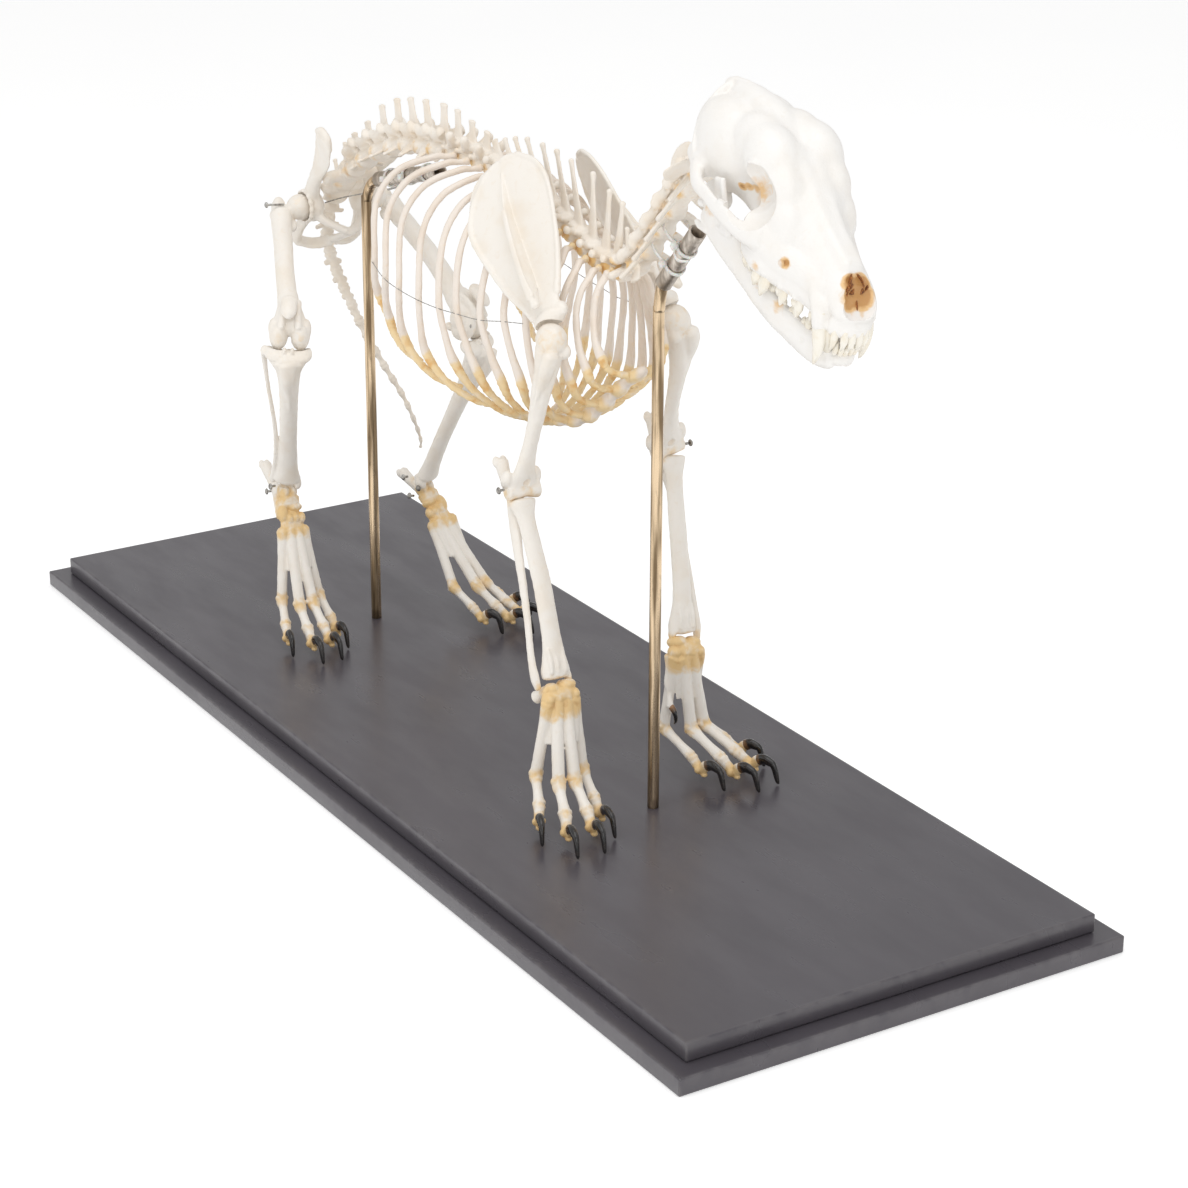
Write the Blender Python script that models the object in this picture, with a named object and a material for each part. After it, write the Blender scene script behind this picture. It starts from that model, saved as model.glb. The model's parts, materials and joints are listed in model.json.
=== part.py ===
"""Mounted skeleton of a medium-sized dog, standing on two stacked boards and held by two bent posts.

Every length below is in millimetres and is scaled to metres when a mesh is made. X points the way
the dog faces, Y to its left and Z up. Bone positions are measured from the top of the upper board,
and place() adds the height of the boards.
"""

import math

import bmesh
import bpy
import numpy as np

MM = 0.001
GAP = 0.3

# Boards
UPPER_BOARD = (1000.0, 336.5, 14.0)
LOWER_MARGIN = 14.7
LOWER_THICKNESS = 13.0
BOARD_CHAMFER = 1.2
BOARD_TOP = LOWER_THICKNESS + GAP + UPPER_BOARD[2]

# Posts and the tubes that they carry
POST_RADIUS = 4.25
TUBE_RADIUS = 6.2
TUBE_BORE = 4.9
REAR_POST_X = -233.9
FRONT_POST_X = 199.9
REAR_TUBE = ((-211.0, 0, 385.0), (-110.0, 0, 412.5))
FRONT_TUBE = ((205.5, 0, 400.5), (247.0, 0, 446.5))
TUBE_ENTRY = 18.0

# Spine, from the first neck vertebra to the last sacral one: centre of the body, tip of the spine
NECK = (
    ((256, 497), (252, 508)),
    ((241, 481), (232, 499)),
    ((226, 464), (216, 476)),
    ((212, 447), (201, 460)),
    ((197, 430), (185, 446)),
    ((182, 413), (170, 434)),
    ((165, 401), (158, 430)),
)
THORAX = (
    ((147, 395), (153, 447)),
    ((129, 396), (135.5, 452)),
    ((111, 400), (113, 460)),
    ((93, 406), (83, 463)),
    ((75, 412), (63, 466)),
    ((57, 418), (43, 466.5)),
    ((38, 423), (21, 466)),
    ((19, 427), (4, 463)),
    ((0, 430), (-11, 459)),
    ((-19, 432), (-26, 455)),
    ((-38, 433), (-36, 459)),
    ((-58, 434), (-59, 463)),
    ((-79, 433), (-81, 467)),
)
LOINS = (
    ((-101, 431), (-102, 467.5)),
    ((-124, 429), (-131, 465)),
    ((-147, 426), (-156, 462)),
    ((-171, 421), (-178, 457)),
    ((-195, 413), (-203, 447)),
    ((-219, 403), (-229, 429)),
    ((-242, 391), (-252, 415)),
)
SACRUM = (
    ((-262, 378), (-269, 404)),
    ((-277, 366), (-288, 386)),
    ((-289, 354), (-301, 368)),
)
DISC_GAP = 1.2
LOIN_REACH = (14, 17, 20, 21, 21, 19, 14)

# Tail: a curve that the vertebrae follow
TAIL_CURVE = (
    (-297, 1, 345),
    (-311, 3, 327),
    (-315, 6, 304),
    (-306, 9, 283),
    (-296, 13, 265),
    (-281, 20, 237),
    (-266, 31, 208),
    (-257, 41, 186),
    (-252, 49, 164),
    (-255, 57, 144),
    (-261, 60, 134),
)
TAIL_VERTEBRAE = 17

# Rib cage, first rib to last: widest point (x, half width, z) and where bone meets cartilage
RIB_MIDDLES = (
    (155, 25, 371),
    (141, 31, 367),
    (127, 36, 363),
    (112, 40, 360),
    (95, 45, 357),
    (74, 51, 354),
    (50, 57, 350),
    (24, 62, 349),
    (3, 65, 348),
    (-22, 68, 349),
    (-49, 70, 351),
    (-72, 69, 353),
    (-97, 65, 358),
)
RIB_JUNCTIONS = (
    (167, 26, 341),
    (156, 31, 329),
    (140, 35, 318),
    (121, 37, 310),
    (101, 39, 305),
    (81, 41, 303),
    (60, 46, 300),
    (35, 51, 299),
    (10, 56, 300),
    (-26, 60, 298),
    (-61, 60, 302),
    (-90, 57, 309),
    (-112, 54, 322),
)
BREASTBONE = (
    (182, 0, 332, 3.5, 3.5),
    (173, 0, 326, 6.5, 4.5),
    (160, 0, 317, 4.2, 4.2),
    (151, 0, 310, 5.5, 5.5),
    (141, 0, 302, 4.2, 4.4),
    (131, 0, 293.5, 5.6, 5.6),
    (121, 0, 286, 4.4, 4.6),
    (111, 0, 279, 6.0, 5.8),
    (100, 0, 273.5, 4.6, 4.8),
    (89, 0, 269, 6.2, 5.4),
    (78, 0, 265.5, 5.0, 4.4),
    (67, 0, 262.5, 6.2, 4.6),
    (57, 0, 260, 4.8, 3.8),
    (46, 0, 257.5, 4.6, 2.8),
    (28, 0, 254, 4.6, 1.8),
    (14, 0, 251, 4.2, 1.4),
)
BREASTBONE_JOINTS = (
    (173, 326),
    (151, 310),
    (131, 293.5),
    (111, 279),
    (89, 269),
    (67, 262.5),
    (57, 260),
    (48, 258),
    (38, 256),
)

# Where the cartilage of the last four ribs ends, each beside the one before
FREE_ENDS = (
    (26, 24, 265),
    (-12, 38, 273),
    (-52, 50, 285),
    (-99, 55, 307),
)

# Limb joints, right side then left side
SHOULDER = ((147, -54, 352), (149, 50, 351))
ELBOW = ((104, -56, 227), (99, 76, 235))
WRIST = ((161, -60, 98), (145, 61, 102))
HIP = ((-287, -34, 350), (-287, 34, 350))
KNEE = ((-188.5, -96, 266), (-177, 75, 251))
ANKLE = ((-266, -65, 118), (-250, 56, 103))
BLADE_TOP = ((36, -29, 452), (41, 34, 449))
SIDES = (("right", -1, 0), ("left", 1, 1))

# Paws: where each stands, the way it points, and how far its long bones lean forward
FORE_PAW = ((157, -60, -13.0, 0.0), (132, 60, 18.0, -8.0))
HIND_PAW = ((-263, -66, -8.0, 0.0), (-222, 54, 30.0, 0.0))

# Toes two to five as (forward, outward, up): knuckle, middle joint, end joint, claw tip
FORE_TOES = (
    ((15, -18, 32), (36, -20, 17.5), (46, -21, 8.5), (71, -24, 0.5)),
    ((32, -6, 32), (55, -8, 17.5), (67, -8, 8.5), (92, -9, 0.5)),
    ((34, 7, 32), (56, 9, 17.5), (69, 12, 8.5), (94, 12, 0.5)),
    ((14, 18, 32), (35, 22, 17.5), (46, 26, 8.5), (67, 30, 0.5)),
)
HIND_TOES = (
    ((25, -17, 31), (46, -20, 17.5), (56, -21, 8.5), (77, -24, 0.5)),
    ((42, -6, 31), (62, -8, 17.5), (75, -9, 8.5), (99, -11, 0.5)),
    ((43, 6, 31), (63, 6, 17.5), (77, 7, 8.5), (101, 6, 0.5)),
    ((26, 16, 31), (47, 20, 17.5), (58, 22, 8.5), (77, 24, 0.5)),
)

# Skull: the place and turn of its own frame (forward from the nape, left, up from the tooth line)
SKULL_ORIGIN = (263.5, -1.0, 500.0)
SKULL_YAW = -4.5
SKULL_PITCH = -20.0
SKULL_ROLL = -1.5


def unit(vector):
    vector = np.asarray(vector, float)
    return vector / np.linalg.norm(vector)


class Frame:
    """Axes that a bone's own numbers are measured along."""

    def __init__(self, origin, front, out, down, scale=1.0):
        self.origin = np.asarray(origin, float)
        self.axes = np.array([front, out, down], float) * scale
        self.scale = scale

    def at(self, front, out, down):
        return self.origin + np.array([front, out, down]) @ self.axes

    def direction(self, front, out, down):
        return unit(np.array([front, out, down]) @ self.axes)

    def rows(self, rows):
        """Rows of (front, out, down, half width, half depth) in world positions."""
        return [(*self.at(*row[:3]), row[3] * self.scale, row[4] * self.scale) for row in rows]


def limb_frame(top, bottom, side, nominal, front_hint=(1, 0, 0)):
    """A frame down a long bone: front first, outward second, down third, scaled to its nominal length."""
    top = np.asarray(top, float)
    bottom = np.asarray(bottom, float)
    down = unit(bottom - top)
    front = np.asarray(front_hint, float)
    front = unit(front - down * (front @ down))
    out = np.cross(down, front)
    if out[1] * side < 0:
        out = -out
    return Frame(top, front, out, down, np.linalg.norm(bottom - top) / nominal)


def skull_frame():
    yaw, pitch, roll = (math.radians(a) for a in (SKULL_YAW, SKULL_PITCH, SKULL_ROLL))
    forward = np.array([math.cos(pitch) * math.cos(yaw), math.cos(pitch) * math.sin(yaw), math.sin(pitch)])
    level_left = np.array([-math.sin(yaw), math.cos(yaw), 0.0])
    level_up = np.cross(forward, level_left)
    left = level_left * math.cos(roll) + level_up * math.sin(roll)
    up = np.cross(forward, left)
    return Frame(SKULL_ORIGIN, forward, left, up)


def curve_rows(rows, steps):
    """Points on the smooth curve through the rows (Catmull-Rom), steps to each stretch."""
    rows = np.asarray(rows, float)
    padded = np.vstack([2 * rows[0] - rows[1], rows, 2 * rows[-1] - rows[-2]])
    found = []
    for i in range(1, len(padded) - 2):
        p0, p1, p2, p3 = padded[i - 1 : i + 3]
        for k in range(steps):
            t = k / steps
            found.append(
                0.5 * (2 * p1 + (p2 - p0) * t + (2 * p0 - 5 * p1 + 4 * p2 - p3) * t * t
                       + (3 * p1 - p0 - 3 * p2 + p3) * t * t * t)
            )
    found.append(rows[-1])
    return np.array(found)


def loft(forms, rows, wide=(0, 1, 0), sides=10, steps=2, dome=0.7):
    """Adds a closed form swept through rows of (x, y, z, half width along wide, half depth)."""
    rows = curve_rows(rows, steps) if steps > 1 else np.asarray(rows, float)
    centres = rows[:, :3]
    tangents = np.gradient(centres, axis=0)
    tangents /= np.linalg.norm(tangents, axis=1)[:, None]
    wide = np.asarray(wide, float)
    if wide.ndim == 1:
        wide = np.tile(wide, (len(rows), 1))
    across = wide - tangents * (wide * tangents).sum(1)[:, None]
    across /= np.linalg.norm(across, axis=1)[:, None]
    depth = np.cross(tangents, across)
    angles = np.arange(sides) * 2 * math.pi / sides
    circle = np.stack([np.cos(angles), np.sin(angles)], 1)

    def ring(i, shift, scale):
        half_width, half_depth = rows[i, 3] * scale, rows[i, 4] * scale
        return (centres[i] + tangents[i] * shift
                + circle[:, :1] * half_width * across[i] + circle[:, 1:] * half_depth * depth[i])

    rings = []
    if dome:
        rings.append(ring(0, -dome * 0.6 * min(rows[0, 3:5]), 0.72))
    rings += [ring(i, 0, 1) for i in range(len(rows))]
    if dome:
        rings.append(ring(-1, dome * 0.6 * min(rows[-1, 3:5]), 0.72))
    first = centres[0] - tangents[0] * dome * min(rows[0, 3:5])
    last = centres[-1] + tangents[-1] * dome * min(rows[-1, 3:5])
    verts = np.vstack([*rings, first, last])
    faces = []
    for r in range(len(rings) - 1):
        for s in range(sides):
            t = (s + 1) % sides
            faces.append((r * sides + s, r * sides + t, (r + 1) * sides + t, (r + 1) * sides + s))
    top = len(rings) * sides
    for s in range(sides):
        t = (s + 1) % sides
        faces.append((t, s, top))
        faces.append(((len(rings) - 1) * sides + s, (len(rings) - 1) * sides + t, top + 1))
    forms.append((verts, faces))


def ball(forms, centre, radii, axes=None, sides=10):
    """Adds an ellipsoid with its radii along the given axes."""
    axes = np.eye(3) if axes is None else np.array([unit(a) for a in axes])
    radii = np.broadcast_to(np.asarray(radii, float), 3)
    levels = max(4, sides // 2)
    verts, faces = [], []
    for k in range(1, levels):
        polar = math.pi * k / levels
        for s in range(sides):
            turn = 2 * math.pi * s / sides
            verts.append((math.sin(polar) * math.cos(turn), math.sin(polar) * math.sin(turn), math.cos(polar)))
    verts += [(0, 0, 1), (0, 0, -1)]
    for k in range(levels - 2):
        for s in range(sides):
            t = (s + 1) % sides
            faces.append((k * sides + s, (k + 1) * sides + s, (k + 1) * sides + t, k * sides + t))
    top, bottom = len(verts) - 2, len(verts) - 1
    for s in range(sides):
        t = (s + 1) % sides
        faces.append((top, s, t))
        faces.append((bottom, (levels - 2) * sides + t, (levels - 2) * sides + s))
    forms.append((np.asarray(centre, float) + np.array(verts) * radii @ axes, faces))


def place(points):
    """Millimetres above the board's top, as metres above the floor."""
    return (np.asarray(points, float) + [0, 0, BOARD_TOP]) * MM


def mesh_object(name, verts, faces, material, smooth=True):
    mesh = bpy.data.meshes.new(name)
    mesh.from_pydata([tuple(v) for v in verts], [], [tuple(f) for f in faces])
    work = bmesh.new()
    work.from_mesh(mesh)
    bmesh.ops.recalc_face_normals(work, faces=work.faces)
    work.to_mesh(mesh)
    work.free()
    obj = bpy.data.objects.new(name, mesh)
    bpy.context.scene.collection.objects.link(obj)
    obj.data.materials.append(material)
    if smooth:
        mesh.shade_smooth()
    return obj


def joined(forms):
    verts, faces, start = [], [], 0
    for points, polygons in forms:
        verts.append(points)
        faces += [tuple(i + start for i in polygon) for polygon in polygons]
        start += len(points)
    return np.vstack(verts), faces


def grown(name, forms, material, voxel=1.2, rounding=3, triangles=200, sockets=(), ends=()):
    """One bone: its forms fused, rounded, pressed clear of its neighbours' joint faces and thinned."""
    verts, faces = joined(forms)
    obj = mesh_object(name, place(verts), faces, material)
    fuse = obj.modifiers.new("Fuse", "REMESH")
    fuse.mode = "VOXEL"
    fuse.voxel_size = voxel * MM
    soften = obj.modifiers.new("Soften", "SMOOTH")
    soften.factor = 0.5
    soften.iterations = rounding
    take_result(obj)
    press(obj.data, sockets, ends)
    thin = obj.modifiers.new("Thin", "DECIMATE")
    obj.data.calc_loop_triangles()
    thin.ratio = min(1.0, triangles / len(obj.data.loop_triangles))
    take_result(obj)
    return obj


def take_result(obj):
    """Replaces an object's mesh with what its modifiers make, without the shells inside it."""
    graph = bpy.context.evaluated_depsgraph_get()
    result = bpy.data.meshes.new_from_object(obj.evaluated_get(graph))
    obj.modifiers.clear()
    rough = obj.data
    obj.data = result
    bpy.data.meshes.remove(rough)
    work = bmesh.new()
    work.from_mesh(result)
    work.faces.ensure_lookup_table()
    shells, seen = [], set()
    for face in work.faces:
        if face in seen:
            continue
        shell, front = [], [face]
        seen.add(face)
        while front:
            here = front.pop()
            shell.append(here)
            for edge in here.edges:
                for other in edge.link_faces:
                    if other not in seen:
                        seen.add(other)
                        front.append(other)
        shells.append(shell)
    shells.sort(key=len)
    spare = [face for shell in shells[:-1] for face in shell]
    bmesh.ops.delete(work, geom=spare, context="FACES")
    work.to_mesh(result)
    work.free()
    result.shade_smooth()


def press(mesh, sockets, ends):
    """Keeps a bone's joint faces clear of its neighbours.

    The points inside each socket (centre, radius) are pushed out to its surface. The points past
    each end (point, direction, reach) are pushed back to it, where they are within its reach.
    """
    points = np.empty(len(mesh.vertices) * 3)
    mesh.vertices.foreach_get("co", points)
    points = points.reshape(-1, 3)
    for centre, radius in sockets:
        away = points - place(centre)
        distance = np.linalg.norm(away, axis=1)
        inside = distance < radius * MM
        points[inside] += away[inside] * (radius * MM / np.maximum(distance[inside], 1e-9) - 1)[:, None]
    for point, direction, reach in ends:
        away = points - place(point)
        past = away @ direction
        over = (past > 0) & (np.linalg.norm(away, axis=1) < reach * MM)
        points[over] -= past[over][:, None] * direction
    mesh.vertices.foreach_set("co", points.ravel())
    mesh.update()


def principled(name, colour, roughness, metallic=0.0):
    material = bpy.data.materials.new(name)
    material.use_nodes = True
    shader = material.node_tree.nodes["Principled BSDF"]
    shader.inputs["Base Color"].default_value = (*colour, 1)
    shader.inputs["Roughness"].default_value = roughness
    shader.inputs["Metallic"].default_value = metallic
    return material


def board(name, length, width, bottom, thickness, material):
    mesh = bpy.data.meshes.new(name)
    work = bmesh.new()
    bmesh.ops.create_cube(work, size=1)
    bmesh.ops.scale(work, vec=(length * MM, width * MM, thickness * MM), verts=work.verts)
    bmesh.ops.translate(work, vec=(0, 0, (bottom + thickness / 2) * MM), verts=work.verts)
    rim = [e for e in work.edges if max(v.co.z for v in e.verts) > bottom * MM + 1e-4]
    bmesh.ops.bevel(work, geom=rim, offset=BOARD_CHAMFER * MM, segments=1, affect="EDGES")
    work.to_mesh(mesh)
    work.free()
    obj = bpy.data.objects.new(name, mesh)
    bpy.context.scene.collection.objects.link(obj)
    obj.data.materials.append(material)
    return obj


def post(name, x, tube, material):
    """A round bar that stands on the board and bends forward into the tube's lower end."""
    start, end = (np.array(p, float) for p in tube)
    along = unit(end - start)
    inside = start + along * TUBE_ENTRY
    # The bend is a quadratic curve between the vertical run and the tube's own line.
    corner_z = start[2] - along[2] / along[0] * (start[0] - x)
    corner = np.array([x, 0, corner_z])
    below = corner - np.array([0, 0, 26.0])
    after = start + along * 1.0
    points = [np.array([x, 0, GAP]), below]
    for t in (0.25, 0.5, 0.75, 1.0):
        points.append(below * (1 - t) ** 2 + corner * 2 * t * (1 - t) + after * t * t)
    points.append(inside)
    forms = []
    rows = [(*p, POST_RADIUS, POST_RADIUS) for p in points]
    loft(forms, rows, sides=10, steps=1, dome=0)
    verts, faces = joined(forms)
    return mesh_object(name, place(verts), faces, material)


def pipe(name, tube, material, sides=14):
    """A straight open tube."""
    start, end = (np.array(p, float) for p in tube)
    along = unit(end - start)
    across = np.array([0, 1.0, 0])
    depth = np.cross(along, across)
    rings = []
    for centre, radius in ((start, TUBE_RADIUS), (end, TUBE_RADIUS), (end, TUBE_BORE), (start, TUBE_BORE)):
        for s in range(sides):
            turn = 2 * math.pi * s / sides
            rings.append(centre + (across * math.cos(turn) + depth * math.sin(turn)) * radius)
    faces = []
    for r in range(4):
        for s in range(sides):
            t = (s + 1) % sides
            n = (r + 1) % 4
            faces.append((r * sides + s, r * sides + t, n * sides + t, n * sides + s))
    obj = mesh_object(name, place(rings), faces, material)
    obj.data.set_sharp_from_angle(angle=math.radians(40))
    return obj


def vertebra_frame(chain, i):
    """Frame at vertebra i: forward along the spine, left, and up towards its spinous tip side."""
    here = np.array([chain[i][0], 0, chain[i][1]], float)
    ahead = np.array([chain[max(i - 1, 0)][0], 0, chain[max(i - 1, 0)][1]], float)
    behind = np.array([chain[min(i + 1, len(chain) - 1)][0], 0, chain[min(i + 1, len(chain) - 1)][1]], float)
    along = unit(ahead - behind)
    left = np.array([0, 1.0, 0])
    return Frame(here, along, left, np.cross(along, left)), np.linalg.norm(ahead - behind) / 2


def spine_chain():
    return [body for body, _ in NECK + THORAX + LOINS + SACRUM]


def region_end(chain, i, forward):
    """How far vertebra i reaches towards its neighbour across a region's border."""
    other = chain[i - 1] if forward else chain[i + 1]
    return math.dist(chain[i], other) / 2 - DISC_GAP / 2


def border(chain, i, towards_head):
    """The plane half a disc short of the border between body i and the next one, for press()."""
    j = i - 1 if towards_head else i + 1
    here = np.array([chain[i][0], 0, chain[i][1]], float)
    other = np.array([chain[j][0], 0, chain[j][1]], float)
    direction = unit(other - here)
    return ((here + other) / 2 - direction * DISC_GAP / 2, direction, 17.0)


def add_spinous(forms, frame, tip, base_up, base_width, tip_width, thick):
    tip = np.array([tip[0], 0, tip[1]], float)
    root = frame.at(0, 0, base_up)
    middle = root * 0.45 + tip * 0.55
    rows = [
        (*root, base_width, thick * 1.5),
        (*middle, (base_width + tip_width) / 2 * 0.85, thick * 0.9),
        (*(tip - unit(tip - root) * 1.5), tip_width, thick * 1.15),
    ]
    loft(forms, rows, wide=frame.direction(1, 0, 0), sides=8, steps=2, dome=0.8)


def spine_bodies(forms, chain, first, last, radius, waist, flat=1.0):
    """The row of vertebral bodies and discs from first to last, waisted at each body's middle."""
    rows = []
    for i in range(first, last + 1):
        frame, length = vertebra_frame(chain, i)
        front = region_end(chain, i, True) if i == first and i > 0 else length / 2
        back = region_end(chain, i, False) if i == last and i < len(chain) - 1 else length / 2
        rows.append((*frame.at(front, 0, 0), radius * flat, radius))
        rows.append((*frame.at(0, 0, 0.6), waist * flat, waist))
        if i == last:
            rows.append((*frame.at(-back, 0, 0), radius * flat, radius))
    loft(forms, rows, sides=10, steps=2, dome=0.25)


def neck_spine(material):
    chain = spine_chain()
    forms = []
    last = len(NECK) - 1
    spine_bodies(forms, chain, 1, last, 7.6, 6.4, 1.15)
    for i in range(1, last + 1):
        frame, length = vertebra_frame(chain, i)
        half = length / 2
        loft(forms, frame.rows([(half * 0.8, 0, 9.5, 9, 4.4), (-half * 0.8, 0, 9.5, 9, 4.4)]), steps=1)
        tip = NECK[i][1]
        if i == 1:
            crest = [(16, 0, 15, 3.5, 1.6), (6, 0, 19, 6.5, 1.8)]
            crest += [(-10, 0, 20, 6.0, 2.2), (-19, 0, 15, 3.5, 2.8)]
            loft(forms, frame.rows(crest), wide=frame.direction(0, 0, 1), sides=8)
        else:
            add_spinous(forms, frame, tip, 10, 5.0 - 0.3 * i, 3.2, 1.6)
        for side in (-1, 1):
            rear = 0.9 if i < last else 0.3
            facet = [
                (half * 0.95, side * 11, 8.5, 4.2, 5.0),
                (0, side * 9, 8, 3.2, 4.2),
                (-half * rear, side * 10.5, 9.5, 4.0, 4.6),
            ]
            loft(forms, frame.rows(facet), steps=2)
            if i < last:
                wing = [
                    (half * 0.5, side * 8, -2, 5.0, 2.6),
                    (half * 0.1, side * 15, -6, 5.5, 2.2),
                    (-half * 0.5, side * 20, -8.5, 4.0, 1.9),
                ]
                loft(forms, frame.rows(wing), wide=frame.direction(1, 0, 0), sides=8)
            else:
                stub = [(0, side * 8, 0, 4.5, 3.0), (-2, side * 17, -2, 3.5, 2.6)]
                loft(forms, frame.rows(stub), wide=frame.direction(1, 0, 0))
            if i == last - 1:
                sled = [(2, side * 10, -6, 6.5, 1.8), (-1, side * 14, -15, 8.5, 1.6)]
                loft(forms, frame.rows(sled), wide=frame.direction(1, 0, 0), sides=8)
    # The first vertebra is a ring with two broad wings.
    frame, length = vertebra_frame(chain, 0)
    loft(forms, frame.rows([(6, 0, 0, 13, 10), (-3, 0, 0, 12, 9), (-12, 0, 0, 9, 8)]), sides=12)
    for side in (-1, 1):
        wing = [(0, side * 10, 0, 8, 3), (-3, side * 20, -1.5, 11, 2.2), (-6, side * 31, -2.5, 8.5, 1.8)]
        loft(forms, frame.rows(wing), wide=frame.direction(1, 0, 0), sides=8)
    skull = skull_frame()
    sockets = [(skull.at(6, side * 9, 16), 9.2) for side in (-1, 1)]
    return grown("cervical_spine", forms, material, 1.1, 3, 540, sockets, [border(chain, last, False)])


def thoracic_spine(material):
    chain = spine_chain()
    first = len(NECK)
    last = first + len(THORAX) - 1
    forms = []
    spine_bodies(forms, chain, first, last, 7.4, 6.2)
    for i in range(first, last + 1):
        frame, length = vertebra_frame(chain, i)
        number = i - first + 1
        half = length / 2
        loft(forms, frame.rows([(half * 0.7, 0, 9, 7.5, 3.6), (-half * 0.7, 0, 9, 7.0, 3.6)]), steps=1)
        base_width = 5.5 if number < 10 else 6.5
        tip_width = 2.6 if number < 10 else 4.6
        add_spinous(forms, frame, THORAX[number - 1][1], 9, base_width, tip_width, 1.5)
        for side in (-1, 1):
            if number < 11:
                arm = [(2, side * 6, 8, 3.6, 3.2), (3, side * 13.5, 11.5, 3.6, 3.2)]
            else:
                arm = [(1, side * 6, 8, 3.6, 3.2), (5, side * 10, 14, 3.4, 2.8)]
            loft(forms, frame.rows(arm), wide=frame.direction(1, 0, 0), sides=8)
    ends = [border(chain, first, True), border(chain, last, False)]
    return grown("thoracic_spine", forms, material, 1.1, 3, 700, (), ends)


def loin_spine(material):
    chain = spine_chain()
    first = len(NECK) + len(THORAX)
    last = first + len(LOINS) - 1
    forms = []
    spine_bodies(forms, chain, first, last, 8.0, 6.8, 1.2)
    for i in range(first, last + 1):
        frame, length = vertebra_frame(chain, i)
        number = i - first
        half = length / 2
        loft(forms, frame.rows([(half * 0.7, 0, 9.5, 8.5, 4.2), (-half * 0.7, 0, 9.5, 8.0, 4.2)]), steps=1)
        add_spinous(forms, frame, LOINS[number][1], 10, 7.0, 4.6, 1.7)
        reach = LOIN_REACH[number]
        for side in (-1, 1):
            joint = [
                (half * 0.95, side * 8, 15, 3.6, 4.2),
                (0, side * 6, 12, 3.2, 3.4),
                (-half * 0.8, side * 5, 14, 3.0, 3.6),
            ]
            loft(forms, frame.rows(joint))
            arm = [
                (1, side * 7, -1, 5.0, 2.4),
                (5, side * reach * 0.65, -3.2, 3.8, 1.7),
                (10, side * reach, -5, 3.0, 1.5),
            ]
            loft(forms, frame.rows(arm), wide=frame.direction(1, 0, 0), sides=8)
    ends = [border(chain, first, True), border(chain, last, False)]
    return grown("lumbar_spine", forms, material, 1.1, 3, 530, (), ends)


def sacrum_bone(material):
    chain = spine_chain()
    first = len(chain) - len(SACRUM)
    forms = []
    spine_bodies(forms, chain, first, len(chain) - 1, 8.0, 7.0, 1.3)
    for i in range(first, len(chain)):
        frame, _ = vertebra_frame(chain, i)
        number = i - first
        loft(forms, frame.rows([(6, 0, 8, 8, 4), (-6, 0, 8, 6.5, 4)]), steps=1)
        add_spinous(forms, frame, SACRUM[number][1], 8, 5.5, 3.8, 1.7)
        if number < 2:
            for side in (-1, 1):
                wing = [(0, side * 7, 0, 7, 6), (0, side * (21 - 6 * number), -1, 6.5 - number, 5)]
                loft(forms, frame.rows(wing), wide=frame.direction(1, 0, 0))
    return grown("sacrum", forms, material, 1.2, 3, 140, (), [border(chain, first, True)])


def tail_bones(material):
    curve = curve_rows(TAIL_CURVE, 12)
    run = np.concatenate([[0], np.cumsum(np.linalg.norm(np.diff(curve, axis=0), axis=1))])
    # Each vertebra is a little shorter and thinner than the one before.
    shares = np.array([1.0 - 0.022 * k for k in range(TAIL_VERTEBRAE)])
    ends = np.concatenate([[0], np.cumsum(shares)]) / shares.sum() * run[-1]
    rows = []
    for k in range(TAIL_VERTEBRAE):
        thick = 5.6 * (1 - k / TAIL_VERTEBRAE) + 1.5
        for share, swell in ((0.06, 1.0), (0.5, 0.58), (0.94, 0.92)):
            where = ends[k] + (ends[k + 1] - ends[k]) * share
            point = [np.interp(where, run, curve[:, axis]) for axis in range(3)]
            rows.append((*point, thick * swell, thick * swell * 0.92))
    forms = []
    loft(forms, rows, sides=6, steps=1, dome=0.6)
    for k in range(4):
        where = (ends[k] + ends[k + 1]) / 2
        point = np.array([np.interp(where, run, curve[:, axis]) for axis in range(3)])
        for side in (-1, 1):
            reach = 11.0 - 2 * k
            wing = [(*point, 3.6, 2), (*(point + [0, side * reach, -2]), 2.6, 1.6)]
            loft(forms, wing, wide=(0, 0, 1), sides=6, steps=1)
    return grown("tail", forms, material, 1.0, 1, 300)


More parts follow.
